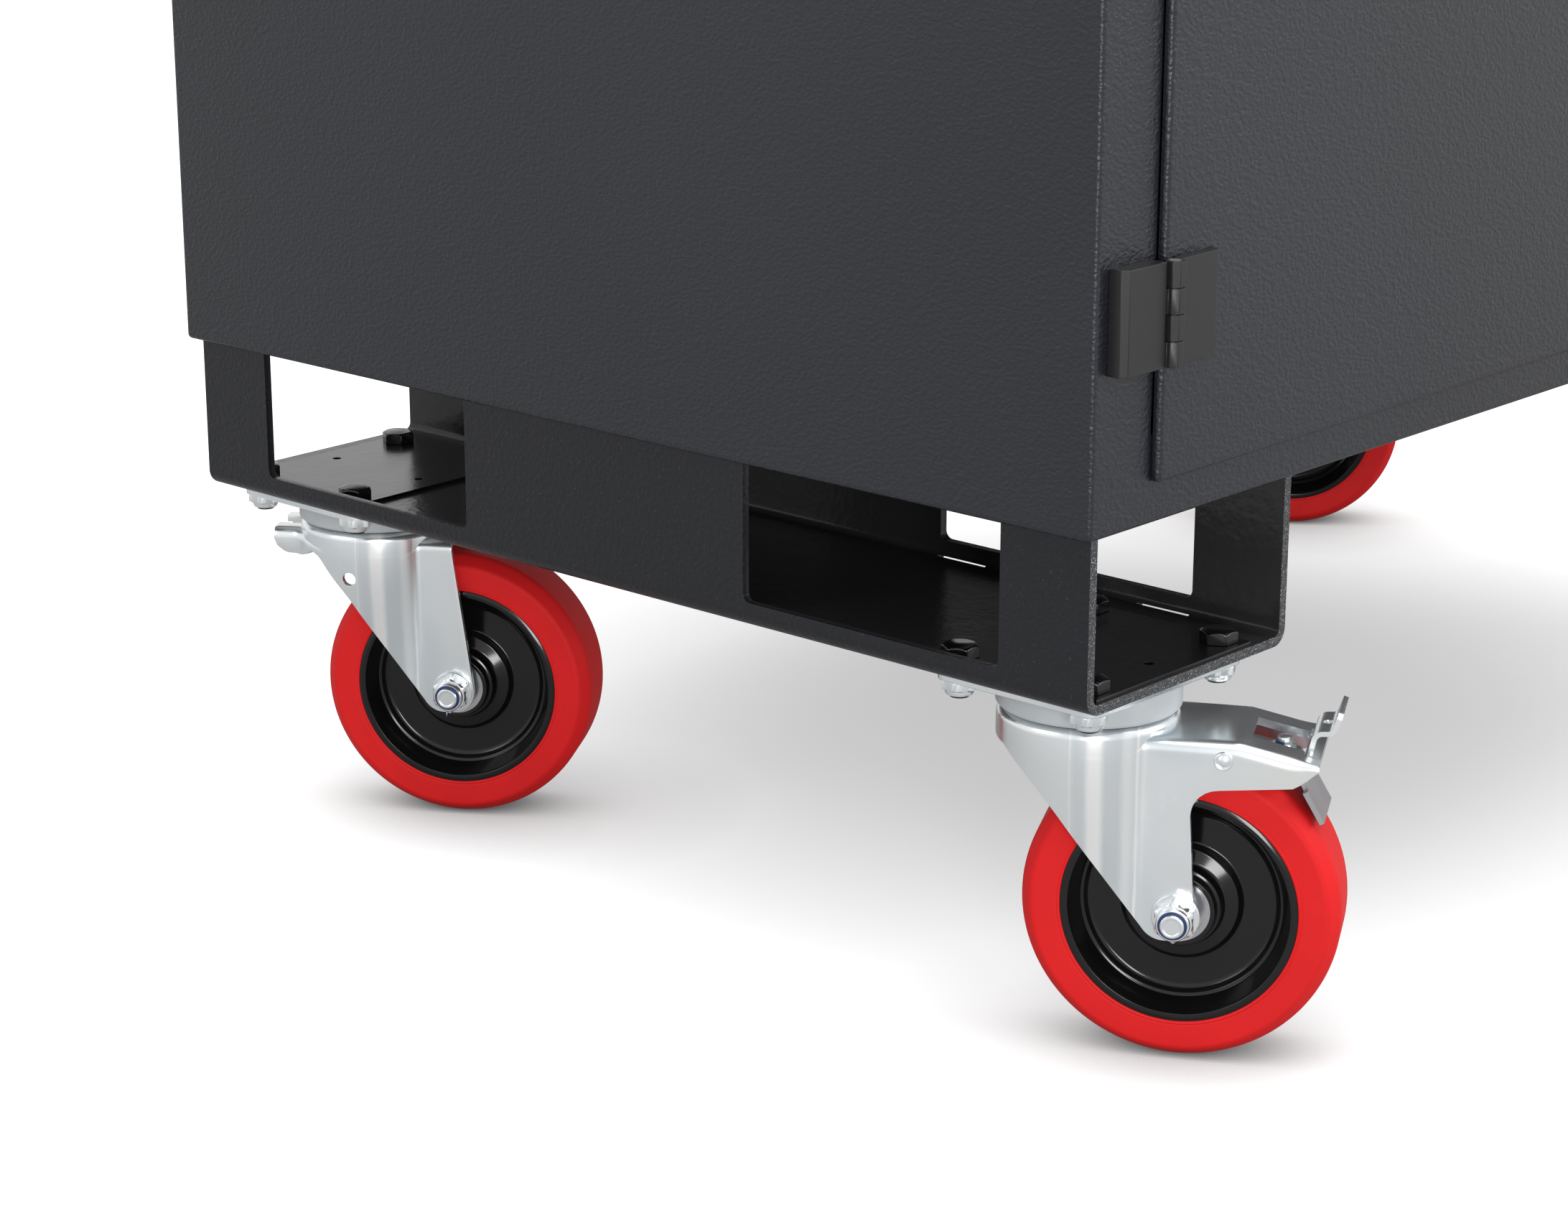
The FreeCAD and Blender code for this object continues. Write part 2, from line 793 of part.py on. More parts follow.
def skirt(inset, top, bend):
    """Round skirt below the crown, narrowing a little towards the feet, with a rounded upper edge."""
    low = wheel_radius - foot_drop - overrun
    corners = [(0, low), (skirt_low_radius - inset, low), (crown_radius - inset, top, bend), (0, top)]
    face = Part.Face(rounded_wire(corners, lambda r, h: V(r, 0, h)))
    return face.revolve(V(0, 0, 0), V(0, 0, 1), 360)


def fork(braked):
    """Pressed fork: crown with its round skirt, flat legs and, with a brake, the covered arm."""
    reach = cup_radius + overrun
    profile = prism(fork_outline(braked), lambda a, b: V(a, -reach, b), V(0, 2 * reach, 0))
    roof = crown_top - crown_thickness
    legs = profile.common(box((0, arm_tip_reach + overrun), (-leg_outer, leg_outer), (0, crown_top)))
    legs = legs.makeFillet(arm_round, edges_on(legs, lambda p: near(abs(p.y), leg_outer)
                                               and p.z > crown_top - arm_end_drop - running_clearance))
    outside = legs.fuse(profile.common(skirt(0, crown_top, crown_round)))
    slope = arm_end_drop / (arm_tip_reach - arm_kink_reach)
    end = arm_tip_reach + overrun
    inside = [(-reach, -overrun), (end, -overrun), (end, roof - slope * (end - arm_kink_reach)),
              (arm_kink_reach, roof), (-reach, roof)]
    half = fork_inside / 2
    hollow = prism(inside, lambda a, b: V(a, -half, b), V(0, 2 * half, 0))
    hollow = hollow.fuse(skirt(fork_wall, roof, crown_round - fork_wall))
    shell = outside.cut(hollow).fuse(skirt(0, crown_top, crown_round).common(
        drum(V(0, 0, roof), V(0, 0, 1), crown_radius, crown_thickness)))
    shell = shell.cut(drum(V(0, 0, roof - overrun), V(0, 0, 1), kingpin_radius + running_clearance,
                           2 * overrun))
    shell = shell.cut(across(axle.x, axle.z, axle_radius + running_clearance, reach))
    shell = shell.fuse(fork_tail()) if not braked else shell
    for hole in fork_cuts(braked, reach):
        shell = shell.cut(hole)
    return shell.removeSplitter()


def fork_tail():
    """Two-pronged tail on the leading side of a fork without a brake, its sides turned down as lips."""
    roof = crown_top - crown_thickness
    start = -crown_radius + crown_thickness
    half = tail_half_width
    plate = box((-tail_reach, start), (-half, half), (roof, crown_top))
    low = crown_top - tail_lip_drop
    lip = [(-tail_reach, crown_top), (start, crown_top), (start, low), (-tail_reach, low, tail_lip_round)]
    for y in (-half, half - tail_lip_wall):
        plate = plate.fuse(prism(lip, lambda a, b: V(a, y, b), V(0, tail_lip_wall, 0)))
    notch = (-tail_notch_half_width, tail_notch_half_width)
    return plate.cut(box((-tail_reach - overrun, -tail_reach + tail_notch_depth), notch,
                         (roof - overrun, crown_top + overrun)))


def fork_cuts(braked, reach):
    """Holes and slots in the fork."""
    if not braked:
        return [across(-leg_hole_reach, crown_top - leg_hole_drop, leg_hole_radius, reach)]
    cuts = [across(pivot_reach, crown_top - pivot_drop, rivet_radius + running_clearance, reach),
            across(pedal_reach, crown_top - pedal_drop, trunnion_radius + running_clearance, reach)]
    high = (crown_top - arm_tip_drop, crown_top + overrun)
    slot, notch = arm_slot_width / 2, arm_notch_width / 2
    cuts.append(box((arm_slot_start, arm_notch_start), (-slot, slot), high))
    cuts.append(box((arm_notch_start, arm_tip_reach + overrun), (-notch, notch), high))
    return cuts


def tyre():
    """Tyre with rounded shoulders, bonded round the wheel centre."""
    half = tyre_width / 2
    flank = wheel_radius - tyre_flank_rise
    tread = half - tyre_shoulder_inset
    inner = rim_radius + bond_gap
    rim_half = half - rim_inset
    side = [(inner, rim_half), (flank, half, tyre_flank_round), (wheel_radius, tread, tyre_shoulder)]
    other = [(corner[0], -corner[1], *corner[2:]) for corner in reversed(side)]
    return turned(side + other, axle)


def wheel_centre():
    """Wheel centre: lipped rim, thin web, boss and hub with bearing seats."""
    rim_half = tyre_width / 2 - rim_inset
    lip = rim_radius - rim_lip
    seat = bearing_face - bearing_width
    boss = web_half_thickness + boss_rise
    half = [(hub_bore_radius, 0), (hub_bore_radius, seat), (bearing_radius + bond_gap, seat),
            (bearing_radius + bond_gap, hub_half_length), (hub_radius, hub_half_length), (hub_radius, boss),
            (boss_radius, boss), (boss_radius, web_half_thickness), (lip - rim_draft, web_half_thickness),
            (lip, rim_half), (rim_radius, rim_half), (rim_radius, 0)]
    other = [(r, -h) for r, h in reversed(half) if h]
    return turned(half + other, axle)


def bearings():
    """Two sealed ball bearings in the hub."""
    bore = axle_radius + running_clearance
    recess = bearing_face - bearing_seal_recess
    seat = bearing_face - bearing_width
    outer_ring, inner_ring = bearing_radius - bearing_ring_wall, bore + bearing_ring_wall
    corners = [(bore, seat), (bearing_radius, seat), (bearing_radius, bearing_face),
               (outer_ring, bearing_face), (outer_ring, recess), (inner_ring, recess),
               (inner_ring, bearing_face), (bore, bearing_face)]
    one = turned(corners, axle)
    return compound([one, one.mirror(V(0, 0, 0), V(0, 1, 0))])


def axle_fixings(braked):
    """Axle bolt, spacers, washers and lock nut and, with a brake, the pivot rivet."""
    outward = V(0, -1, 0)
    bore = axle_radius + running_clearance
    seat = leg_outer + washer_thickness
    nut_end = seat + axle_nut_height + axle_collar
    bolt = drum(V(axle.x, seat, axle.z), outward, axle_radius, seat + nut_end + axle_end)
    bolt = bolt.fuse(hexagon(V(axle.x, seat, axle.z), V(0, 1, 0), axle_hex, axle_head_height))
    nut = hexagon(V(axle.x, -seat, axle.z), outward, axle_hex, axle_nut_height)
    nut = nut.fuse(drum(V(axle.x, -seat - axle_nut_height, axle.z), outward, axle_collar_radius, axle_collar))
    nut = nut.cut(across(axle.x, axle.z, bore, nut_end + overrun))
    pieces = [bolt, nut]
    spacer_start = bearing_face + spacer_gap
    for side in (-1, 1):
        along = V(0, side, 0)
        pieces.append(ring(V(axle.x, side * spacer_start, axle.z), along, spacer_radius, bore,
                           fork_inside / 2 - spacer_start))
        pieces.append(ring(V(axle.x, side * leg_outer, axle.z), along, washer_radius, bore, washer_thickness))
    if braked:
        height = crown_top - pivot_drop
        rivet = across(pivot_reach, height, rivet_radius, leg_outer)
        for side in (-1, 1):
            head_start = V(pivot_reach, side * leg_outer, height)
            rivet = rivet.fuse(drum(head_start, V(0, side, 0), rivet_head_radius, rivet_head))
        pieces.append(rivet)
    return compound(pieces)


def bent_strip(points, thickness, half):
    """Strip of sheet bent along points (reach, height), its thickness to the left of the way."""
    normals = []
    for (a0, b0), (a1, b1) in zip(points, points[1:]):
        length = math.hypot(a1 - a0, b1 - b0)
        normals.append((-(b1 - b0) / length, (a1 - a0) / length))
    far = []
    for i, (a, b) in enumerate(points):
        n0, n1 = normals[max(i - 1, 0)], normals[min(i, len(normals) - 1)]
        share = thickness / (1 + n0[0] * n1[0] + n0[1] * n1[1])
        far.append((a + (n0[0] + n1[0]) * share, b + (n0[1] + n1[1]) * share))
    return prism(points + far[::-1], lambda a, b: V(a, -half, b), V(0, 2 * half, 0))


def brake_blade():
    """Blade that turns on the pivot rivet, ending in the shoe plate, with its adjusting screw."""
    height = crown_top - pivot_drop
    bend = (blade_bend_reach, crown_top - blade_bend_drop)
    shoe_top = (shoe_top_reach, crown_top - shoe_top_drop)
    shoe_tip = (shoe_tip_reach, crown_top - shoe_tip_drop)
    root = (pivot_reach, height - blade_thickness / 2)
    bar = bent_strip([root, bend, shoe_top], blade_thickness, blade_half_width)
    shoe = bent_strip([shoe_top, shoe_tip], blade_thickness, shoe_half_width)
    eye_radius = pivot_drop - crown_thickness - blade_eye_gap
    eye = across(pivot_reach, height, eye_radius, blade_half_width)
    rivet_hole = across(pivot_reach, height, rivet_radius + running_clearance, leg_outer)
    blade = bar.fuse(shoe).fuse(eye).cut(rivet_hole)
    along = V(bend[0] - root[0], 0, bend[1] - root[1])
    along.normalize()
    up = along.cross(V(0, 1, 0))
    seat = V(root[0], 0, root[1]) + along * (screw_reach - pivot_reach) + up * blade_thickness
    screw = hexagon(seat, up, screw_hex, screw_head)
    return compound([blade.removeSplitter(), screw])


def brake_pedal():
    """Pedal on trunnions in the arm's end: barrel, apron that closes the notch, and stepped blade with its hole."""
    height = crown_top - pedal_drop
    knee = (pedal_knee_reach, crown_top + pedal_knee_rise)
    step = (pedal_step_reach, crown_top + pedal_step_rise)
    top = (pedal_top_reach, crown_top + pedal_top_rise)
    strip = bent_strip([(pedal_reach, height), knee, step, top], pedal_thickness, pedal_half_width)
    hole = drum(V((knee[0] + step[0]) / 2, 0, step[1] - pedal_thickness), V(0, 0, 1), pedal_hole_radius,
                3 * pedal_thickness)
    apron_top = crown_top - arm_end_drop
    apron = box((pedal_reach, arm_tip_reach), (-pedal_half_width, pedal_half_width),
                (apron_top - pedal_thickness, apron_top))
    barrel = across(pedal_reach, height, pedal_barrel_radius, arm_notch_width / 2 - pedal_side_gap)
    trunnions = across(pedal_reach, height, trunnion_radius, leg_outer)
    return strip.cut(hole).fuse([apron, barrel, trunnions]).removeSplitter()


def placed(shape, name):
    """A castor's piece turned to its rest angle and put under its corner."""
    copy = shape.copy()
    copy.rotate(V(0, 0, 0), V(0, 0, 1), castor_turns[name] - 90)
    copy.translate(castor_places()[name])
    return copy


def build():
    """All named pieces."""
    nodes = {}
    panel, channel = side_panel(), skid()
    nodes["roof_panel"] = roof_panel()
    nodes["floor_panel"] = floor_panel()
    nodes["left_side_panel"] = panel
    nodes["right_side_panel"] = mirrored(panel)
    nodes["back_panel"] = back_panel()
    nodes["front_frame"] = front_frame()
    nodes["shelf"] = shelf()
    nodes["shelf_rails"] = shelf_rails()
    nodes["left_skid"] = channel
    nodes["right_skid"] = mirrored(channel)

    frame_leaves = [hinge_leaf(low, False) for low in hinge_lows]
    door_leaves = [hinge_leaf(low, True) for low in hinge_lows]
    pins = [hinge_pin(low) for low in hinge_lows]
    nodes["frame_hinge_leaves"] = compound(frame_leaves + [mirrored(leaf) for leaf in frame_leaves])
    nodes["hinge_pins"] = compound(pins + [mirrored(pin) for pin in pins])
    skin, channels = door_skin_pan(), door_stiffeners()
    nodes["left_door_skin"] = skin
    nodes["left_door_stiffeners"] = compound(channels)
    nodes["left_door_hinge_leaves"] = compound(door_leaves)
    nodes["right_door_skin"] = mirrored(skin).cut(spindle_hole())
    nodes["right_door_stiffeners"] = compound([mirrored(c) for c in channels])
    nodes["right_door_hinge_leaves"] = compound([mirrored(leaf) for leaf in door_leaves])
    nodes["lock_escutcheon"] = escutcheon()
    nodes["lock_handle"] = lock_handle()
    nodes["lock_cam"] = lock_cam()
    nodes["upper_lock_rod"], nodes["lower_lock_rod"] = lock_rods()
    nodes["rod_guides"] = rod_guides()
    nodes["left_upper_bolt"] = slide_bolt(True)
    nodes["left_lower_bolt"] = slide_bolt(False)
    nodes["left_bolt_guides"] = slide_bolt_guides()

    places = castor_places()
    bolts = [bolt for at in places.values() for bolt in bolt_places(at)]
    nodes["packing_plates"] = compound([packing_plate(at) for at in places.values()])
    nodes["castor_bolts"] = compound([mount_bolt(at) for at in bolts])
    nodes["castor_nuts"] = compound([mount_nut(at) for at in bolts])
    nodes["swivel_cups"] = compound([swivel_cup(at) for at in places.values()])
    nodes["kingpins"] = compound([kingpin(at) for at in places.values()])

    forks = {braked: fork(braked) for braked in (True, False)}
    fixings = {braked: axle_fixings(braked) for braked in (True, False)}
    wheel = {"tyre": tyre(), "wheel_centre": wheel_centre(), "bearings": bearings()}
    brake = {"brake_blade": brake_blade(), "brake_pedal": brake_pedal()}
    for name, at in places.items():
        braked = name.startswith("front")
        nodes[name + "_top_plate"] = top_plate(at)
        nodes[name + "_fork"] = placed(forks[braked], name)
        nodes[name + "_axle_fixings"] = placed(fixings[braked], name)
        for piece, shape in wheel.items():
            nodes[name + "_" + piece] = placed(shape, name)
        for piece, shape in brake.items() if braked else ():
            nodes[name + "_" + piece] = placed(shape, name)
    return nodes


os.makedirs("parts", exist_ok=True)
for node, shape in build().items():
    shape.exportStep("parts/" + node + ".step")
    print(f"{node}: {len(shape.Solids)} solids, {shape.Volume / 1000:.1f} cm3, valid {shape.isValid()}")
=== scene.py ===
"""Looks of a steel site storage box that stands on folded skids and swivel castors.

Sizes are in millimetres until a mesh is made. The frame and Blender use metres. Castor pieces are worked out in
the castor's own axes: reach (from the swivel axis to the wheel), across (along the axle) and height.
"""

import json
import logging
import math
from contextlib import contextmanager
from dataclasses import dataclass, field
from enum import Enum
from typing import Any, Iterable, Iterator, Sequence

import bmesh
import bpy
import numpy as np
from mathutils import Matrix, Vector

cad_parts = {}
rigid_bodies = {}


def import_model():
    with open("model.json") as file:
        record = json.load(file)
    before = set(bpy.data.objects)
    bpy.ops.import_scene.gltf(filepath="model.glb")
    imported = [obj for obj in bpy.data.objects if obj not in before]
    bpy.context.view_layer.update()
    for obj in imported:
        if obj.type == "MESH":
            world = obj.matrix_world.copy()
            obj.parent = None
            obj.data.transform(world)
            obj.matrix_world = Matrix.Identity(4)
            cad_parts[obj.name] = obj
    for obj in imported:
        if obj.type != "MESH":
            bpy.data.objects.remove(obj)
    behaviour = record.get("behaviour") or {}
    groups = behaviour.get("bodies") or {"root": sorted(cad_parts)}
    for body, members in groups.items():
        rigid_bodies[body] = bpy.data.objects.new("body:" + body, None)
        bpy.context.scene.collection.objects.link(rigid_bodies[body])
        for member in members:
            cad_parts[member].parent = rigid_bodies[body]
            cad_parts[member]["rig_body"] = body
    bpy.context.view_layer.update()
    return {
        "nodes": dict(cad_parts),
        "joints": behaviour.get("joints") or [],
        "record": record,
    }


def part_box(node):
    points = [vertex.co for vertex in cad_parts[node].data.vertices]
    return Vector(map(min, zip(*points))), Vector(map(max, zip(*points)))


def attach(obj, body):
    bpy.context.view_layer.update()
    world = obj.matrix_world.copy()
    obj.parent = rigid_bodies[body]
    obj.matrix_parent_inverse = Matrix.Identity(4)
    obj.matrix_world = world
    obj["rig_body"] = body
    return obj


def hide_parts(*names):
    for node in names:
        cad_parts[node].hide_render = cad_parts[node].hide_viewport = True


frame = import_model()
LOG = logging.getLogger("site_box")
MM = 0.001
WELD = 0.005 * MM
UP = np.array([0.0, 0.0, 1.0])
LEVEL = np.array([1.0, 1.0, 0.0])
Array = np.ndarray
Colour = tuple[float, float, float]
CORNERS = ("front_left", "front_right", "rear_left", "rear_right")


class Slot(Enum):
    """The record's material slots."""

    PAINT = "box_paint"
    BLACK = "black_paint"
    HINGE = "hinge_black"
    ZINC = "zinc"
    CUP = "grey_cup"
    TYRE = "red_tyre"
    CENTRE = "black_centre"
    BEARING = "bearing_steel"
    SHOE = "shoe_steel"


def tint(red: int, green: int, blue: int) -> Colour:
    """Linear colour of a colour picker's 0 to 255 values."""
    shares = np.array([red, green, blue]) / 255
    linear = np.where(shares <= 0.04045, shares / 12.92, ((shares + 0.055) / 1.055) ** 2.4)
    return tuple(float(c) for c in linear)


# Shader maths


class Signal:
    """One socket of a recipe's nodes, on which Python's operators add Math nodes."""

    def __init__(self, recipe: "Recipe", socket: bpy.types.NodeSocket) -> None:
        """Keeps the recipe and the socket."""
        self.recipe = recipe
        self.socket = socket

    def _math(self, operation: str, left: Any, right: Any) -> "Signal":
        """A Math node on two values."""
        return self.recipe.node("ShaderNodeMath", {"operation": operation}, {0: left, 1: right})

    def __add__(self, other: Any) -> "Signal":
        """self + other."""
        return self._math("ADD", self, other)

    __radd__ = __add__

    def __sub__(self, other: Any) -> "Signal":
        """self - other."""
        return self._math("SUBTRACT", self, other)

    def __rsub__(self, other: Any) -> "Signal":
        """other - self."""
        return self._math("SUBTRACT", other, self)

    def __mul__(self, other: Any) -> "Signal":
        """self times other."""
        return self._math("MULTIPLY", self, other)

    __rmul__ = __mul__

    def __gt__(self, other: Any) -> "Signal":
        """1 where self is above other, else 0."""
        return self._math("GREATER_THAN", self, other)

    def __lt__(self, other: Any) -> "Signal":
        """1 where self is below other, else 0."""
        return self._math("LESS_THAN", self, other)

    def step(self, low: float, high: float) -> "Signal":
        """0 below low, 1 above high, and a smooth rise between."""
        sockets = {"Value": self, "From Min": low, "From Max": high}
        return self.recipe.node("ShaderNodeMapRange", {"interpolation_type": "SMOOTHSTEP"}, sockets)


class Recipe:
    """A material and the nodes that are added to it."""

    def __init__(self, name: str, tree: bpy.types.NodeTree | None = None) -> None:
        """Starts a material with no nodes, or takes the world's empty tree."""
        self.material = None
        if tree is None:
            self.material = bpy.data.materials.new(name)
            self.material.use_nodes = True
            tree = self.material.node_tree
            tree.nodes.clear()
        self.tree = tree

    def node(self, kind: str, settings: dict[str, Any] | None = None,
             sockets: dict[str | int, Any] | None = None, output: str | int = 0) -> Signal:
        """Adds one node.

        Args:
            kind: the node's type.
            settings: what is set on the node first.
            sockets: values or signals of its inputs.
            output: the output that is wanted.

        Returns:
            The wanted output as a signal.
        """
        made = self.tree.nodes.new(kind)
        for key, value in (settings or {}).items():
            setattr(made, key, value)
        for key, value in (sockets or {}).items():
            if isinstance(value, Signal):
                self.tree.links.new(value.socket, made.inputs[key])
            else:
                made.inputs[key].default_value = value
        return Signal(self, made.outputs[output]) if len(made.outputs) else Signal(self, None)

    def place(self) -> Signal:
        """The point on the piece, in metres."""
        return self.node("ShaderNodeTexCoord", output="Object")

    def axes(self) -> tuple[Signal, Signal, Signal]:
        """The point's X, Y and Z."""
        parts = self.node("ShaderNodeSeparateXYZ", sockets={"Vector": self.place()})
        return tuple(Signal(self, parts.socket.node.outputs[axis]) for axis in "XYZ")

    def stretched(self, scale: Sequence[float]) -> Signal:
        """The point with each axis scaled."""
        return self.node("ShaderNodeMapping", sockets={"Vector": self.place(), "Scale": scale})

    def noise(self, scale: float, detail: float = 2.0, roughness: float = 0.5,
              vector: Signal | None = None) -> Signal:
        """Cloudy noise from 0 to 1, scale counted per metre."""
        sockets = {"Vector": vector or self.place(), "Scale": scale, "Detail": detail, "Roughness": roughness}
        return self.node("ShaderNodeTexNoise", sockets=sockets)

    def hammered(self, per_metre: float, vector: Signal | None = None) -> tuple[Signal, Signal]:
        """Fine noise, and the height of a hammered grain made of rounded cells and that noise."""
        sockets = {"Vector": vector or self.place(), "Scale": per_metre, "Smoothness": 1.0}
        cells = self.node("ShaderNodeTexVoronoi", {"feature": "SMOOTH_F1"}, sockets)
        fine = self.noise(per_metre * 1.7)
        return fine, cells * 0.75 + fine * 0.35

    def clouded(self, cloud: Signal, dark: float, light: float, colour: Colour) -> Signal:
        """Colour that a cloud varies between a darker and a lighter share of it."""
        first, second = (tuple(c * share for c in colour) for share in (dark, light))
        return self.mixed(cloud.step(0.3, 0.7), first, second)

    def mixed(self, mask: Signal, first: Any, second: Any) -> Signal:
        """Colour first where the mask is 0 and second where it is 1."""
        def full(value: Any) -> Any:
            return value if isinstance(value, Signal) else (*value, 1.0)
        return self.node("ShaderNodeMix", {"data_type": "RGBA"}, {0: mask, 6: full(first), 7: full(second)}, 2)

    def bump(self, height: Signal, distance: float, strength: float) -> Signal:
        """Normal of a height from 0 to 1 that stands distance metres high."""
        sockets = {"Height": height, "Distance": distance, "Strength": strength}
        return self.node("ShaderNodeBump", sockets=sockets)

    def finish(self, **sockets: Any) -> bpy.types.Material:
        """Ends the recipe with a Principled surface.

        Args:
            sockets: values or signals by socket name, with _ for a blank.

        Returns:
            The finished material.
        """
        named = {}
        for key, value in sockets.items():
            name = key.replace("_", " ").title().replace("Ior", "IOR")
            named[name] = (*value, 1.0) if name == "Base Color" and isinstance(value, tuple) else value
        surface = self.node("ShaderNodeBsdfPrincipled", sockets=named)
        self.node("ShaderNodeOutputMaterial", sockets={"Surface": surface})
        return self.material


# Finishes


@dataclass(frozen=True)
class HammeredPaint:
    """Powder coat with a fine hammered grain, on the cabinet and its doors."""

    colour: Colour = tint(31, 33, 40)
    roughness: float = 0.26
    specular: float = 0.45
    clouds_per_metre: float = 2.2
    grain_per_metre: float = 400.0
    grain_height: float = 0.0007
    grain_squeeze: float = 1.5
    grain_bend: float = 0.9

    def bent_place(self, recipe: Recipe) -> Signal:
        """The point, squeezed in height and moved about by noise, which makes the cells short wavy ridges."""
        noise = recipe.node("ShaderNodeTexNoise", sockets={
            "Vector": recipe.place(), "Scale": self.grain_per_metre * 0.8}, output="Color")
        moved = recipe.node("ShaderNodeVectorMath", {"operation": "SCALE"}, {
            0: noise, "Scale": self.grain_bend / self.grain_per_metre})
        squeezed = recipe.stretched((1.0, 1.0, self.grain_squeeze))
        return recipe.node("ShaderNodeVectorMath", {"operation": "ADD"}, {0: squeezed, 1: moved})

    def make(self) -> bpy.types.Material:
        """Cells and noise make the grain; slow clouds vary tone and gloss."""
        recipe = Recipe("hammered_paint")
        cloud = recipe.noise(self.clouds_per_metre, 3.0)
        fine, height = recipe.hammered(self.grain_per_metre, self.bent_place(recipe))
        return recipe.finish(base_color=recipe.clouded(cloud, 0.86, 1.12, self.colour),
                             roughness=self.roughness + cloud * 0.1 + fine * 0.06,
                             specular_ior_level=self.specular,
                             normal=recipe.bump(height, self.grain_height, 0.7))


@dataclass(frozen=True)
class SkidPaint:
    """Folded skid: hammered grey outside, gloss black where the channel's inside was sprayed."""

    side: str
    outside: Colour = tint(28, 29, 34)
    glint: Colour = tint(70, 72, 78)
    inside: Colour = tint(46, 46, 47)
    cut: Colour = tint(62, 63, 66)
    speck: Colour = tint(168, 170, 172)
    roughness: float = 0.34
    specular: float = 0.3
    wall: float = 5.0
    sawn_depth: float = 0.4
    grain_per_metre: float = 400.0
    grain_height: float = 0.0006
    peel_per_metre: float = 140.0
    specks_per_metre: float = 1400.0
    glints_per_metre: float = 800.0

    def make(self) -> bpy.types.Material:
        """A mask between the flanges and above the web's middle chooses the black; the sawn end is specked."""
        low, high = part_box(f"{self.side}_skid")
        half_wall = self.wall * MM / 2
        recipe = Recipe(f"skid_paint_{self.side}")
        x, y, z = recipe.axes()
        within = (x > low.x + half_wall) * (x < high.x - half_wall) * (z > low.z + half_wall)
        sawn = y < low.y + self.sawn_depth * MM
        fine, grain = recipe.hammered(self.grain_per_metre)
        peel = recipe.noise(self.peel_per_metre, 1.0)
        height = grain * (1 - within * 0.75) + peel * within * 0.5
        specks = recipe.noise(self.specks_per_metre, 2.0, 0.7).step(0.56, 0.66)
        glints = recipe.noise(self.glints_per_metre, 1.0).step(0.68, 0.80)
        colour = recipe.mixed(within, recipe.mixed(glints, self.outside, self.glint), self.inside)
        colour = recipe.mixed(sawn, colour, recipe.mixed(specks, self.cut, self.speck))
        gloss = self.roughness - within * 0.16 + fine * 0.06 + sawn * 0.2
        return recipe.finish(base_color=colour, roughness=gloss, specular_ior_level=self.specular,
                             normal=recipe.bump(height, self.grain_height, 0.6))


@dataclass(frozen=True)
class GlossBlack:
    """Black paint with a little orange peel, on the packing plates and their bolts."""

    colour: Colour = tint(13, 13, 14)
    roughness: float = 0.16
    peel_height: float = 0.00015

    def make(self) -> bpy.types.Material:
        """Two sizes of soft noise make the peel."""
        recipe = Recipe("gloss_black")
        peel = recipe.noise(160.0, 1.0) * 0.7 + recipe.noise(600.0, 1.0) * 0.3
        return recipe.finish(base_color=self.colour, roughness=self.roughness + recipe.noise(30.0) * 0.1,
                             normal=recipe.bump(peel, self.peel_height, 0.5))


@dataclass(frozen=True)
class SatinBlack:
    """Warm black satin coat of the hinges and the lever."""

    colour: Colour = tint(38, 36, 37)
    roughness: float = 0.29
    specular: float = 0.38
    grain_per_metre: float = 900.0
    grain_height: float = 0.00004

    def make(self) -> bpy.types.Material:
        """Fine grain in gloss and height."""
        recipe = Recipe("satin_black")
        fine = recipe.noise(self.grain_per_metre)
        return recipe.finish(base_color=self.colour, roughness=self.roughness + fine * 0.1,
                             specular_ior_level=self.specular, normal=recipe.bump(fine, self.grain_height, 0.4))


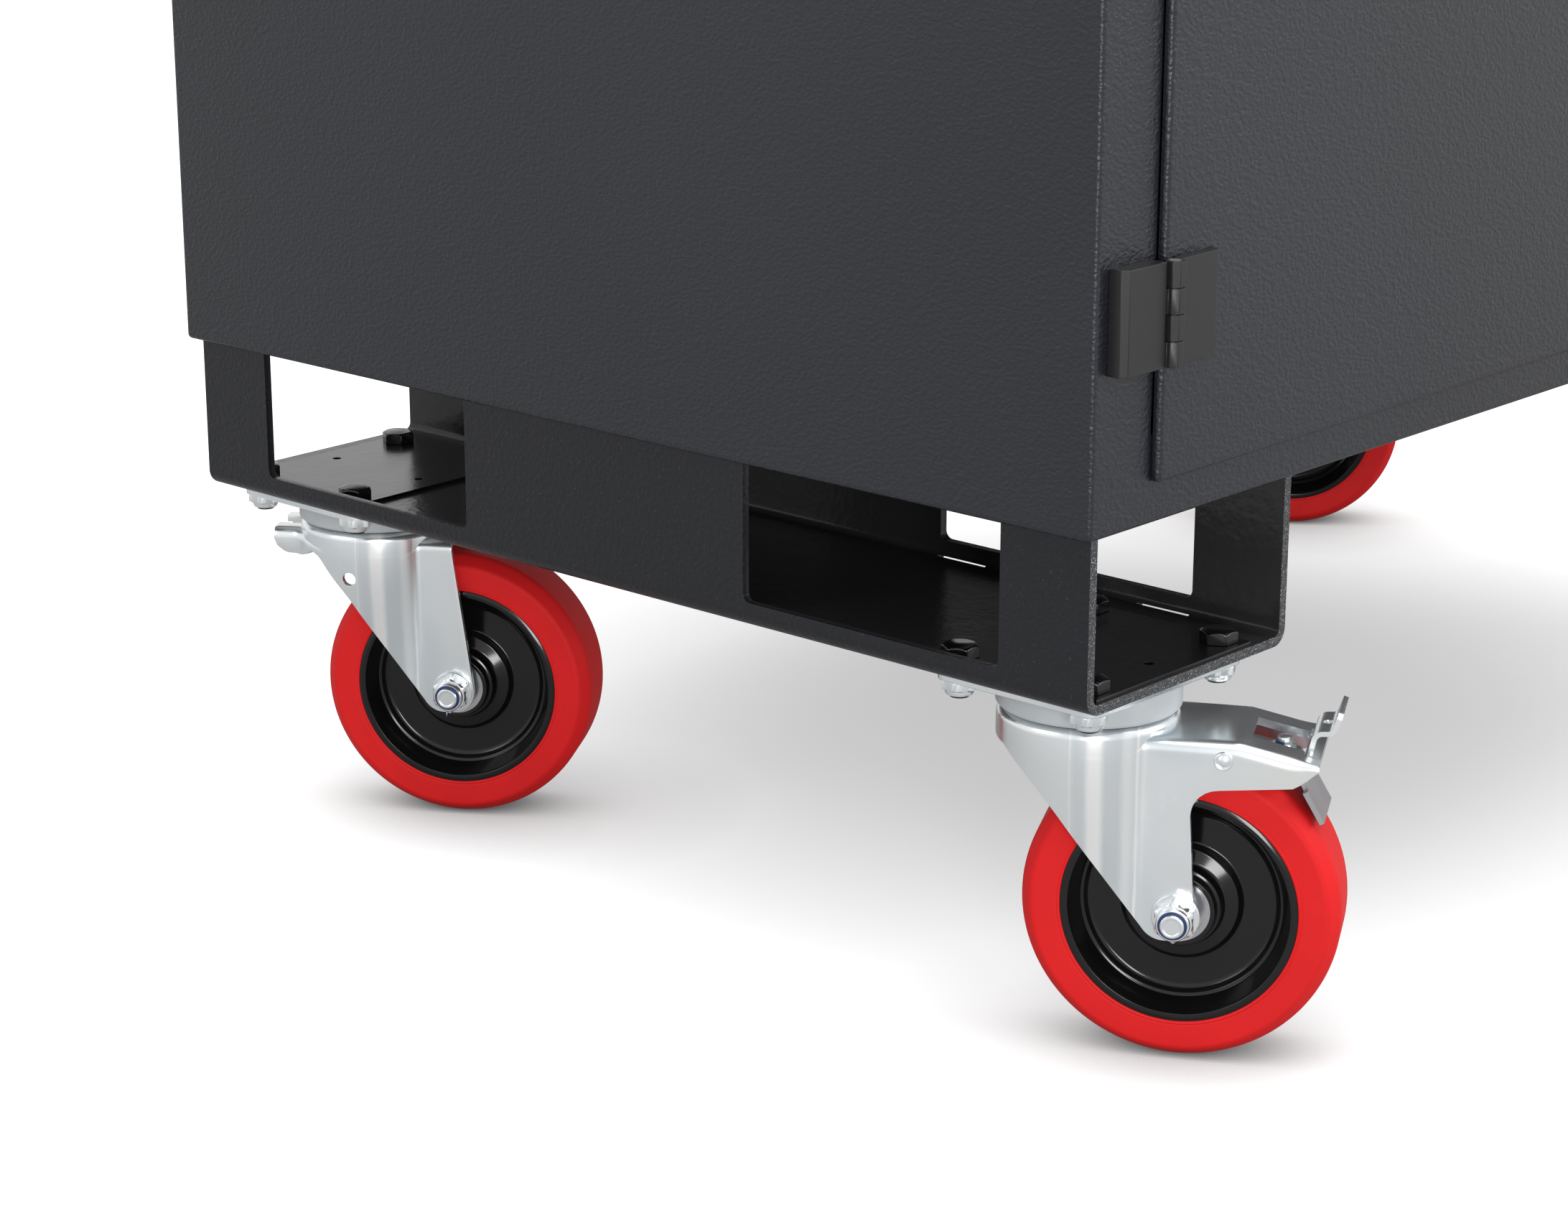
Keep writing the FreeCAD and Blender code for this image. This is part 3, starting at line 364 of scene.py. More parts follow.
@dataclass(frozen=True)
class ZincPlate:
    """Bright zinc plate with drawing lines, soft clouds and faint blue and straw tones.

    Where the mesh has a reach, the fork's skirt gets painted highlight and painted shade bands along it.
    """

    name: str = "zinc_plate"
    colour: Colour = (0.80, 0.835, 0.85)
    blue: Colour = (0.72, 0.77, 0.80)
    straw: Colour = (0.83, 0.84, 0.82)
    painted_highlight: Colour = (1.0, 1.0, 1.0)
    painted_shade: Colour = (0.60, 0.64, 0.67)
    metallic: float = 0.9
    roughness: float = 0.15
    relief: float = 0.00005
    fray: float = 1.6
    painted_bands: bool = False

    def painted_light(self, recipe: Recipe, lines: Signal, colour: Signal) -> Signal:
        """Adds the painted highlight and painted shade bands, given in millimetres of reach from the swivel
        axis.

        Args:
            recipe: the material's recipe.
            lines: drawing lines, which fray the painted bands' edges.
            colour: the plate's colour so far.

        Returns:
            The colour with the painted highlight and shade.
        """
        reach = recipe.node("ShaderNodeAttribute", {"attribute_name": "reach"}, output="Fac")
        reach = reach + lines * self.fray - self.fray / 2

        def band(start: float, end: float, blend: float) -> Signal:
            return reach.step(start, start + blend) * (1 - reach.step(end - blend, end))

        # Painted shade: two bands darken the skirt's colour towards the shade colour.
        colour = recipe.mixed(band(-1.5, 6.5, 2.5) * 0.35 + band(13.0, 24.0, 3.0) * 0.5, colour, self.painted_shade)
        # Painted highlights: a broad band for the lamp's streak, a fainter one further on, and two thin bright
        # lines, one at the crease.
        highlight_share = band(5.0, 15.0, 3.2) * 0.95 + band(22.5, 28.5, 2.5) * 0.35
        highlight_share = highlight_share + band(-2.6, -1.2, 0.6) * 0.5 + band(29.0, 31.0, 0.8) * 0.8
        return recipe.mixed(highlight_share, colour, self.painted_highlight)

    def make(self) -> bpy.types.Material:
        """Clouds mix the tones; noise stretched in height makes the drawing lines."""
        recipe = Recipe(self.name)
        cloud = recipe.noise(26.0, 3.0, 0.6)
        tone = recipe.noise(11.0)
        lines = recipe.noise(1.0, 2.0, 0.6, recipe.stretched((900.0, 900.0, 60.0)))
        colour = recipe.mixed(tone.step(0.35, 0.5), self.blue, self.colour)
        colour = recipe.mixed(tone.step(0.52, 0.72), colour, self.straw)
        if self.painted_bands:
            colour = self.painted_light(recipe, lines, colour)
        return recipe.finish(base_color=colour, metallic=self.metallic,
                             roughness=self.roughness + cloud * 0.12 + lines * 0.06,
                             normal=recipe.bump(lines * 0.6 + cloud * 0.5, self.relief, 0.35))


@dataclass(frozen=True)
class TyreRed:
    """Red cast tyre, satin, with faint moulding bloom."""

    colour: Colour = tint(246, 38, 40)
    roughness: float = 0.5
    specular: float = 0.2
    grain_per_metre: float = 700.0
    grain_height: float = 0.00003

    def make(self) -> bpy.types.Material:
        """Soft clouds in tone, fine grain in height."""
        recipe = Recipe("tyre_red")
        cloud = recipe.noise(18.0, 3.0)
        fine = recipe.noise(self.grain_per_metre)
        return recipe.finish(base_color=recipe.clouded(cloud, 0.9, 1.0, self.colour),
                             roughness=self.roughness + cloud * 0.1 + fine * 0.05,
                             specular_ior_level=self.specular,
                             normal=recipe.bump(fine, self.grain_height, 0.4))


@dataclass(frozen=True)
class MouldedBlack:
    """Glossy moulded black of the wheel centres."""

    colour: Colour = tint(19, 18, 19)
    roughness: float = 0.09
    specular: float = 0.4
    sink_height: float = 0.0002

    def make(self) -> bpy.types.Material:
        """Soft sink marks in height, clouds in gloss."""
        recipe = Recipe("moulded_black")
        cloud = recipe.noise(45.0)
        return recipe.finish(base_color=self.colour, roughness=self.roughness + cloud * 0.05,
                             specular_ior_level=self.specular,
                             normal=recipe.bump(cloud, self.sink_height, 0.25))


@dataclass(frozen=True)
class PlainCoat:
    """One coat with a fine grain: the head's cup, the bearing faces, the shoe and the nut rings."""

    name: str
    colour: Colour
    roughness: float
    metallic: float = 0.0
    grain_per_metre: float = 500.0
    grain_height: float = 0.00003

    def make(self) -> bpy.types.Material:
        """Fine noise varies gloss and height, clouds twelve times as wide vary the tone."""
        recipe = Recipe(self.name)
        fine = recipe.noise(self.grain_per_metre, 3.0)
        cloud = recipe.noise(self.grain_per_metre / 12)
        return recipe.finish(base_color=recipe.clouded(cloud, 0.9, 1.0, self.colour), metallic=self.metallic,
                             roughness=self.roughness - 0.05 + fine * 0.1,
                             normal=recipe.bump(fine, self.grain_height, 0.4))


# Surfaces


def quads(rows: int, columns: int, close_rows: bool = False, close_columns: bool = False) -> Array:
    """Quads of a grid of points that are numbered row by row.

    The quad at (i, j) joins (i, j), (i, j + 1), (i + 1, j + 1) and (i + 1, j), counted round where the grid
    closes.

    Args:
        rows: points down.
        columns: points along.
        close_rows: the last row joins the first.
        close_columns: the last column joins the first.

    Returns:
        Point numbers, four to a quad.
    """
    i = np.arange(rows if close_rows else rows - 1)[:, None]
    j = np.arange(columns if close_columns else columns - 1)[None, :]
    down, right = (i + 1) % rows, (j + 1) % columns
    corners = (i * columns + j, i * columns + right, down * columns + right, down * columns + j)
    return np.stack([np.broadcast_to(c, (i.size, j.size)) for c in corners], axis=-1).reshape(-1, 4)


def rounded(corners: Sequence[Sequence[float]], closed: bool = True, steps: int = 6) -> Array:
    """Outline through corners, with an arc at each rounded one.

    An arc of radius r leaves its corner's sides at r / tan(half the angle) from the corner, and its points are
    the centre plus the turned way from the centre to the arc's start.

    Args:
        corners: (a, b) or (a, b, radius).
        closed: the last corner joins the first.
        steps: spans of an arc.

    Returns:
        Points of the outline, one row each.
    """
    flat = np.array([(c[0], c[1], c[2] if len(c) > 2 else 0.0) for c in corners])
    runs = []
    for i, (a, b, radius) in enumerate(flat):
        here = np.array([a, b])
        if radius == 0 or (not closed and i in (0, len(flat) - 1)):
            runs.append(here[None])
            continue
        before = flat[i - 1, :2] - here
        after = flat[(i + 1) % len(flat), :2] - here
        before, after = before / np.linalg.norm(before), after / np.linalg.norm(after)
        half = math.acos(np.clip(before @ after, -1, 1)) / 2
        middle = (before + after) / np.linalg.norm(before + after)
        centre = here + middle * radius / math.sin(half)
        start = here + before * radius / math.tan(half) - centre
        sweep = math.pi - 2 * half
        turn = np.sign(before[0] * after[1] - before[1] * after[0]) * -1
        angles = np.linspace(0, sweep, steps + 1) * turn
        cos, sin = np.cos(angles), np.sin(angles)
        arc = [cos * start[0] - sin * start[1], sin * start[0] + cos * start[1]]
        runs.append(centre + np.stack(arc, axis=1))
    return np.concatenate(runs)


@dataclass
class Surface:
    """Grids of points in millimetres, gathered into one piece."""

    name: str
    points: list[Array] = field(default_factory=list)
    faces: list[list[int]] = field(default_factory=list)
    count: int = 0

    def add(self, points: Array, faces: Iterable[Sequence[int]]) -> "Surface":
        """Adds points and the faces that join them.

        Args:
            points: rows of three, in the row frame.
            faces: point numbers, counted from these points.

        Returns:
            This surface.
        """
        flat = points.reshape(-1, 3)
        self.points.append(flat)
        self.faces += [[int(n) + self.count for n in face] for face in faces]
        self.count += len(flat)
        return self

    def piece(self, body: str, slot: str, material: bpy.types.Material, replaces: Sequence[str] = (),
              sharp_degrees: float = 35.0) -> bpy.types.Object:
        """Makes the mesh and lets it ride.

        Args:
            body: the body that carries it.
            slot: the record's material slot; not used.
            material: its finish.
            replaces: nodes that it stands for.
            sharp_degrees: edges that bend more than this stay sharp.

        Returns:
            The piece's object.
        """
        return settle(self.mesh(), body, material, replaces, sharp_degrees)

    def mesh(self) -> bpy.types.Mesh:
        """The gathered points and faces as a mesh."""
        mesh = bpy.data.meshes.new(self.name)
        mesh.from_pydata((np.concatenate(self.points) * MM).tolist(), [], self.faces)
        return mesh


@contextmanager
def edited(mesh: bpy.types.Mesh, source: bpy.types.Mesh | None = None) -> Iterator[bmesh.types.BMesh]:
    """Opens a mesh, or another one that it is to be made from, for editing and writes the result to it.

    Args:
        mesh: the mesh that is written.
        source: the mesh that is read, where that is another one.

    Yields:
        The open mesh.
    """
    edit = bmesh.new()
    edit.from_mesh(source or mesh)
    yield edit
    edit.to_mesh(mesh)
    edit.free()


def linked(name: str, data: Any) -> bpy.types.Object:
    """New object of some data, in the scene."""
    made = bpy.data.objects.new(name, data)
    bpy.context.scene.collection.objects.link(made)
    return made


def settle(mesh: bpy.types.Mesh, body: str, material: bpy.types.Material,
           replaces: Sequence[str] = (), sharp_degrees: float = 35.0, outward: bool = True) -> bpy.types.Object:
    """Turns a mesh into a shaded piece that rides on a body.

    Args:
        mesh: the mesh, in the row frame.
        body: the body that carries it.
        material: its finish.
        replaces: nodes that it stands for.
        sharp_degrees: edges that bend more than this stay sharp.
        outward: the points are welded and the faces turned outwards first.

    Returns:
        The piece's object.
    """
    if outward:
        with edited(mesh) as edit:
            bmesh.ops.remove_doubles(edit, verts=edit.verts, dist=WELD)
            bmesh.ops.recalc_face_normals(edit, faces=edit.faces)
    mesh.shade_smooth()
    mesh.set_sharp_from_angle(angle=math.radians(sharp_degrees))
    mesh.materials.append(material)
    made = linked(mesh.name, mesh)
    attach(made, body)
    if replaces:
        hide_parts(*replaces)
    LOG.info("%s: %d points on %s", mesh.name, len(mesh.vertices), body)
    return made


def bevelled(made: bpy.types.Object, edge: float, steps: int, degrees: float) -> None:
    """Rounds an object's edges by a modifier.

    Args:
        made: the object.
        edge: width of the rounding in millimetres.
        steps: spans of the rounding.
        degrees: edges that bend more than this are rounded.
    """
    bevel = made.modifiers.new("edge", "BEVEL")
    bevel.width = edge * MM
    bevel.segments = steps
    bevel.limit_method = "ANGLE"
    bevel.angle_limit = math.radians(degrees)


def softened(node: str, material: bpy.types.Material, edge: float, steps: int = 2,
             sharp_degrees: float = 32.0) -> None:
    """Copy of a CAD node whose edges are rounded, so that they catch the light.

    Args:
        node: the CAD node, for which the copy stands.
        material: its finish.
        edge: width of the rounding in millimetres.
        steps: spans of the rounding.
        sharp_degrees: edges that bend more than this are rounded.
    """
    source = frame["nodes"][node]
    mesh = bpy.data.meshes.new(f"{node}_softened")
    with edited(mesh, source.data) as edit:
        bmesh.ops.remove_doubles(edit, verts=edit.verts, dist=0.02 * MM)
        bmesh.ops.dissolve_limit(edit, angle_limit=math.radians(0.8), verts=edit.verts, edges=edit.edges)
    made = settle(mesh, source["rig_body"], material, [node], sharp_degrees)
    bevelled(made, edge, steps, sharp_degrees)


# Castors


def turned(profile: Array, centre: Array, axis: Array, first: Array, steps: int = 96, closed: bool = True,
           flats: float = 0.0) -> tuple[Array, Array]:
    """Profile of radius and offset turned about an axis.

    A point is centre + offset * axis + radius * (cos t * first + sin t * second), where second is square to
    axis and first and t goes all the way round. In rows marked as hexagon the radius is at most
    flats / 2 / cos(d), where d is the angle from the middle of the nearest flat.

    Args:
        profile: outline with radius, offset and, with flats, a hexagon mark in each row.
        centre: point on the axis.
        axis: direction of the offsets.
        first: direction of t = 0.
        steps: spans round the axis.
        closed: the last row joins the first; an open outline ends on the axis.
        flats: width across a hexagon's flats.

    Returns:
        Points in the row frame and quads.
    """
    t = np.linspace(0, 2 * math.pi, steps, endpoint=False)[:, None]
    radius = np.broadcast_to(profile[None, :, 0], (steps, len(profile)))
    if flats:
        from_flat = (t + math.pi / 6) % (math.pi / 3) - math.pi / 6
        radius = np.where(profile[None, :, 2] > 0, np.minimum(radius, flats / 2 / np.cos(from_flat)), radius)
    around = np.cos(t)[..., None] * first + np.sin(t)[..., None] * np.cross(axis, first)
    points = centre + profile[None, :, 1:2] * axis + radius[..., None] * around
    return points, quads(steps, len(profile), True, closed)


def pushed(outline: Array, low: float, high: float, order: tuple[int, int, int]) -> tuple[Array, list[Array]]:
    """Outline of (a, b) pushed along a third axis, with both ends closed.

    Args:
        outline: points of the outline.
        low: the push's start.
        high: its end.
        order: columns of (a, b, push) that become reach, across and height.

    Returns:
        Points in a castor's axes, two rows of them, and faces.
    """
    count = len(outline)
    rows = [np.column_stack([outline, np.full(count, end)])[:, order] for end in (low, high)]
    sides = list(quads(2, count, False, True))
    return np.stack(rows), sides + [np.arange(count), np.arange(count, 2 * count)]


def circle(a: float, b: float, radius: float, steps: int = 32) -> Array:
    """Outline of a circle about (a, b)."""
    t = np.linspace(0, 2 * math.pi, steps, endpoint=False)
    return np.stack([a + radius * np.cos(t), b + radius * np.sin(t)], axis=1)


@dataclass(frozen=True)
class CastorPlace:
    """Where a castor stands, read from its joints."""

    corner: str
    swivel: Array
    reach: Array
    across: Array
    axle: Array
    crown_top: float

    @classmethod
    def of(cls, corner: str) -> "CastorPlace":
        """Place of one corner's castor; its nut is on the side opposite to across."""
        joints = {joint["name"]: joint for joint in frame["joints"]}
        turn, roll = joints[f"{corner}_swivel_turn"], joints[f"{corner}_wheel_roll"]
        swivel = np.array(turn["pos_m"]) / MM
        axle = np.array(roll["pos_m"]) / MM
        offset = (axle - swivel) * LEVEL
        reach = offset / np.linalg.norm(offset)
        return cls(corner, swivel * LEVEL, reach, np.cross(UP, reach), axle, float(swivel[2]))

    @property
    def braked(self) -> bool:
        """True for the front castors, which have a brake."""
        return self.corner.startswith("front")

    def row(self, local: Array) -> Array:
        """Points given as reach, across and height, in the row frame."""
        return self.swivel + local[..., :1] * self.reach + local[..., 1:2] * self.across + local[..., 2:] * UP

    def wheel_turned(self, profile: Array, steps: int) -> tuple[Array, Array]:
        """Profile of radius and offset turned about the axle."""
        return turned(profile, self.axle, self.across, self.reach, steps)

    def cutter(self, outline: Array, low: float, high: float, order: tuple[int, int, int]) -> bpy.types.Object:
        """Loose prism that a Boolean takes away.

        Args:
            outline: its outline.
            low: the push's start.
            high: its end.
            order: columns of the outline and the push that become reach, across and height.

        Returns:
            The prism's object, which is removed after use.
        """
        points, faces = pushed(outline, low, high, order)
        mesh = Surface(f"{self.corner}_cutter").add(self.row(points), faces).mesh()
        with edited(mesh) as edit:
            bmesh.ops.recalc_face_normals(edit, faces=edit.faces)
        return linked(mesh.name, mesh)


def mirrored_profile(half: Array) -> Array:
    """Closed profile from its half at positive offset: the half, then its mirror image backwards."""
    return np.concatenate([half, (half * np.array([1, -1]))[::-1]])


@dataclass
class Wheel:
    """Tyre and moulded centre of one castor."""

    place: CastorPlace
    tyre_radius: float = 80.0
    tyre_half: float = 25.0
    rim_radius: float = 59.25

    def build(self, tyre_red: bpy.types.Material, black: bpy.types.Material) -> None:
        """Makes tyre and centre.

        Args:
            tyre_red: finish of the tyre.
            black: finish of the centre.
        """
        corner = self.place.corner
        body = f"{corner}_wheel"
        tyre = self.place.wheel_turned(mirrored_profile(self.tyre_half_profile()), 128)
        Surface(f"{corner}_cast_tyre").add(*tyre).piece(body, Slot.TYRE.value, tyre_red, [f"{corner}_tyre"], 50)
        centre = self.place.wheel_turned(mirrored_profile(self.centre_half_profile()), 112)
        Surface(f"{corner}_moulded_centre").add(*centre).piece(
            body, Slot.CENTRE.value, black, [f"{corner}_wheel_centre"], 50)

    def tyre_half_profile(self) -> Array:
        """Half profile from the bond to the tread: bead line, flank, two-radius shoulder, crowned tread."""
        flank, tread = self.tyre_radius - 6.0, self.tyre_half - 8.0
        bead = self.rim_radius
        corners = [(bead, 0.0), (bead, 24.5, 0.5), (bead + 1.3, 24.9, 0.4), (bead + 1.8, 24.3, 0.4),
                   (bead + 2.6, 24.6, 0.4), (flank, self.tyre_half, 4.0), (self.tyre_radius - 0.25, tread, 8.0),
                   (self.tyre_radius, 0.0)]
        return rounded(corners, closed=False, steps=7)[:-1]

    def centre_half_profile(self) -> Array:
        """Half profile from the bore to the bond: seat, hub, boss, web, drafted rim and lip."""
        corners = [(10.0, 0.0), (10.0, 15.0), (16.05, 15.0), (16.05, 25.2, 0.4), (18.2, 25.2, 0.6),
                   (19.0, 20.5, 0.8), (20.6, 20.0, 0.6), (21.6, 14.2, 2.2), (28.6, 12.4, 1.5), (30.8, 8.5, 1.8),
                   (46.6, 8.5, 4.0), (49.4, 11.6, 1.6), (50.8, 12.0, 1.0), (55.0, 23.6, 0.6), (55.5, 24.7, 0.5),
                   (57.4, 24.9, 0.5), (59.2, 24.4, 0.4), (59.2, 0.0)]
        return rounded(corners, closed=False, steps=5)[:-1]


def smooth_step(value: Array, low: float, high: float) -> Array:
    """0 below low, 1 above high, and 3 t^2 - 2 t^3 between."""
    t = np.clip((value - low) / (high - low), 0, 1)
    return t * t * (3 - 2 * t)


def smooth_max(first: Array, second: Array, blend: float) -> Array:
    """Larger of two values, half of (a + b + root((a - b)^2 + blend^2)), so that they meet in a soft valley."""
    return (first + second + np.sqrt((first - second) ** 2 + blend ** 2)) / 2


def baked(made: bpy.types.Object) -> bpy.types.Mesh:
    """Mesh of an object after its modifiers; the object goes away."""
    graph = bpy.context.evaluated_depsgraph_get()
    mesh = bpy.data.meshes.new_from_object(made.evaluated_get(graph))
    mesh.name = made.name
    bpy.data.objects.remove(made)
    return mesh


def sheet_piece(mesh: bpy.types.Mesh, sheet: float, side: float, edge: float,
                hole: bpy.types.Object | None = None) -> bpy.types.Mesh:
    """Gives a surface its thickness, a hole and rounded edges.

    Args:
        mesh: the surface.
        sheet: thickness in millimetres.
        side: 0 for both sides of the surface, -1 for the inner side.
        edge: width of the rounding in millimetres.
        hole: a prism to take away, which is then removed.

    Returns:
        The finished mesh.
    """
    made = linked(mesh.name, mesh)
    thick = made.modifiers.new("sheet", "SOLIDIFY")
    thick.thickness = sheet * MM
    thick.offset = side
    if hole:
        cut = made.modifiers.new("hole", "BOOLEAN")
        cut.object = hole
        cut.operation = "DIFFERENCE"
    bevelled(made, edge, 2, 50.0)
    final = baked(made)
    if hole:
        bpy.data.objects.remove(hole)
    return final


def along(chain: Array, count: int) -> Array:
    """Points spaced evenly along a chain of (a, b) points."""
    run = np.concatenate([[0], np.cumsum(np.hypot(*np.diff(chain, axis=0).T))])
    even = np.linspace(0, run[-1], count)
    return np.stack([np.interp(even, run, chain[:, 0]), np.interp(even, run, chain[:, 1])], axis=1)


@dataclass
class PressedFork:
    """Pressed fork of a castor: round skirt, flat legs and either the brake arm or the two-pronged tail.

    Half of the sheet is made of grids of reach and height: the leg's wall, the curtain below the leading rim
    and the top that is folded over to the middle plane. A point of the wall stands at the plan curve's offset
    for its reach. The other half is the mirror image.
    """

    place: CastorPlace
    sheet: float = 4.0
    skirt_radius: float = 45.9
    leg_half: float = 33.0
    crease_reach: float = 30.6
    crease_blend: float = 1.2
    bulge_fade: float = 0.6
    bulge_low: float = 80.0
    bulge_high: float = 165.0
    crown_round: float = 8.0
    arm_round: float = 6.0
    tail_half: float = 20.0
    tail_blend: float = 7.0
    tail_start: float = 18.0
    tail_full: float = 38.0
    tail_fold_start: float = 36.0
    tail_fold_full: float = 46.0
    waist_height: float = 132.0
    foot_height: float = 66.8
    foot_reach: float = 51.7
    foot_half: float = 13.5
    foot_round: float = 13.0
    plain_end: float = 52.0
    crease_share: float = 0.35
    arm_kink: float = 78.0
    arm_tip: float = 117.5
    arm_fall: float = 8.5
    tip_round: float = 2.5
    tip_start: float = 102.0
    arm_start: float = 66.0
    slot_start: float = 83.0
    notch_start: float = 109.0
    root_rows: int = 10
    arm_rows: int = 14
    ring_inner: float = 38.5
    ring_low: float = 163.3
    ring_top: float = 176.9
    ring_round: float = 5.2
    tail_tip: float = -58.6
    hole_reach: float = -6.5
    hole_drop: float = 22.5
    hole_radius: float = 4.0

    def plan_offset(self, reach: Array, height: Array | float) -> Array:
        """Offset of the wall from the middle plane.

        It is the skirt's circle, whose bulge beyond the legs fades towards the foot, smoothly joined to legs
        and tail.
        """
        skirt = np.sqrt(np.maximum(self.skirt_radius ** 2 - reach ** 2, 0))
        bulge = np.maximum(skirt - self.leg_half, 0)
        fade = 1 - smooth_step(np.asarray(height, float), self.bulge_low, self.bulge_high)
        skirt = skirt - bulge * self.bulge_fade * fade
        leg = smooth_max(skirt, np.full_like(skirt, self.leg_half), self.crease_blend)
        offset = np.where(reach > self.skirt_radius / 3, leg, skirt)
        if self.place.braked:
            return offset
        tail = smooth_max(skirt, np.full_like(skirt, self.tail_half), self.tail_blend)
        return offset + smooth_step(-reach, self.tail_start, self.tail_full) * (tail - skirt)

    def points(self, reach: Array, level: Array) -> Array:
        """Points of the wall at the given reaches and heights."""
        return np.stack([reach, self.plan_offset(reach, level), level], axis=-1)

    def top(self, reach: Array) -> Array:
        """Height of the top face, which falls along the brake arm."""
        slope = self.arm_fall / (self.arm_tip - self.arm_kink)
        return self.place.crown_top - slope * np.maximum(reach - self.arm_kink, 0)

    def fold(self, reach: Array) -> Array:
        """Radius of the fold between wall and top: large round the crown, smaller along arm and tail."""
        along_arm = smooth_step(reach, self.crease_reach - 6, self.crease_reach + 4)
        along_tail = 0 if self.place.braked else smooth_step(-reach, self.tail_fold_start, self.tail_fold_full)
        radius = self.crown_round + (self.arm_round - self.crown_round) * np.maximum(along_arm, along_tail)
        return radius + (self.tip_round - self.arm_round) * smooth_step(reach, self.tip_start, self.arm_tip)

    def rim(self, reach: Array) -> Array:
        """Height at which the fold starts."""
        return self.top(reach) - self.fold(reach)

    def foot(self, side: int) -> list[tuple[float, ...]]:
        """Corners of the foot's lower edge, from below the axle to its leading (-1) or trailing (1) side."""
        corner = (self.foot_reach + side * self.foot_half, self.foot_height, self.foot_round)
        return [(self.foot_reach, self.foot_height), corner]

    def leading_edge(self) -> Array:
        """Leading edge of the leg as a chain of reach and height, from the foot to the neck below the rim."""
        upper = [(-18.3, 145.8, 140.0), (-38.0, 160.6)]
        if not self.place.braked:
            upper = [(-7.0, 136.6, 110.0), (-26.0, 159.6, 8.0), (-31.5, 162.4)]
        return rounded(self.foot(-1) + upper, closed=False, steps=12)

    def trailing_edge(self) -> Array:
        """Trailing edge of the leg from the foot to the rim; with a brake it ends in the arm's root."""
        if not self.place.braked:
            upper = [(self.plain_end, self.place.crown_top - self.arm_round)]
            return rounded(self.foot(1) + upper, closed=False, steps=12)
        root = self.arm_edge()[0]
        upper = [(56.0, 132.0, 18.0), (57.5, 146.0, 14.0), (106.5, 151.2)]
        chain = rounded(self.foot(1) + upper, closed=False, steps=12)
        ends = [root, (self.arm_start, self.rim(self.arm_start))]
        return np.concatenate([chain[chain[:, 0] < root[0]], ends])

    def arm_edge(self) -> Array:
        """Lower edge of the brake arm, from the middle of its root's arc to the tip."""
        tip = (self.arm_tip, self.place.crown_top - self.arm_fall - self.tip_round)
        chain = rounded([(56.0, 132.0), (57.5, 146.0, 14.0), (106.5, 151.2, 6.0), tip], closed=False, steps=12)
        return chain[7:]

    def curtain_edge(self, neck: Array) -> Array:
        """Lower edge of the leading rim, from tip to neck: nearly level, or the tail's deep round lip."""
        if self.place.braked:
            return np.array([(-self.skirt_radius, 161.4), neck])
        tip = (self.tail_tip, self.place.crown_top - self.arm_round)
        lip = [(-57.6, 161.5, 4.0), (-51.5, 156.6, 8.0), (-41.0, 156.4, 5.0), (-36.0, 159.5, 5.0)]
        return rounded([tip, *lip, tuple(neck)], closed=False, steps=8)

    def run_table(self, start: float, end: float) -> tuple[Array, Array]:
        """Reaches, closest together at the start, and the plan curve's length up to each."""
        reach = start + (end - start) * (1 - np.cos(np.linspace(0, math.pi / 2, 2000)))
        offset = self.plan_offset(reach, self.place.crown_top)
        return reach, np.concatenate([[0], np.cumsum(np.hypot(np.diff(reach), np.diff(offset)))])

    def top_columns(self, neck: float) -> tuple[Array, int]:
        """Reaches of the columns along the rim, and how many lie before the neck."""
        start = -self.skirt_radius if self.place.braked else self.tail_tip
        end = self.arm_tip if self.place.braked else self.plain_end
        reach, run = self.run_table(start, end)
        neck_run, crease_run = np.interp([neck, self.crease_reach], reach, run)
        lead = np.linspace(0, neck_run, 19)[:-1]
        round_part = neck_run + (crease_run - neck_run) * (1 - np.linspace(1, 0, 44) ** 1.5)
        columns = np.interp(np.concatenate([lead, round_part]), run, reach)
        stops = [self.arm_start, self.slot_start, self.notch_start, end] if self.place.braked else [end]
        legs = [self.crease_reach + (stops[0] - self.crease_reach) * np.linspace(0, 1, 20)[1:] ** 1.4]
        legs += [np.linspace(a, b, 8)[1:] for a, b in zip(stops, stops[1:])]
        return np.concatenate([columns] + legs), len(lead)

    def wall(self, columns: Array) -> Array:
        """Grid of the leg's wall: level rows up to the waist, then rows that spread to the rim.

        Above the waist a point is blended from the four edges: straight between waist and rim, moved by what
        the leading edge adds up to the crease and by what the trailing edge adds from there on.
        """
        leading, trailing = self.leading_edge(), self.trailing_edge()
        table = reach, run = self.run_table(columns[0], self.crease_reach + self.skirt_radius)
        place_run = np.interp(columns, reach, run)
        crease_run = float(np.interp(self.crease_reach, reach, run))
        front = np.clip(place_run / crease_run, 0, 1)
        back = np.clip((place_run - crease_run) / (place_run[-1] - crease_run), 0, 1)
        rise = (1 - np.cos(np.linspace(0, math.pi / 2, 34)))[:, None]
        height = self.foot_height + (self.waist_height - self.foot_height) * rise
        start = np.interp(height, leading[:, 1], leading[:, 0])
        end = np.interp(height, trailing[:, 1], trailing[:, 0])
        crease = np.maximum(self.crease_reach, start + self.crease_share * (end - start))
        leg = start + front * (crease - start) + back * (end - crease)
        waist = np.stack([np.interp(leg[-1], reach, run), np.full(len(columns), self.waist_height)], axis=-1)
        rim = np.stack([place_run, self.rim(columns)], axis=-1)
        rows = self.root_rows + self.arm_rows
        left = np.concatenate([along(self.above_waist(leading, waist[0], table), rows), rim[:1]])
        edge = self.above_waist(trailing, waist[-1], table)
        right = along(edge, rows + 1)
        if self.place.braked:
            root, arm = along(edge[:-1], self.root_rows + 1), along(edge[-2:], self.arm_rows + 1)
            right = np.concatenate([root, arm[1:]])
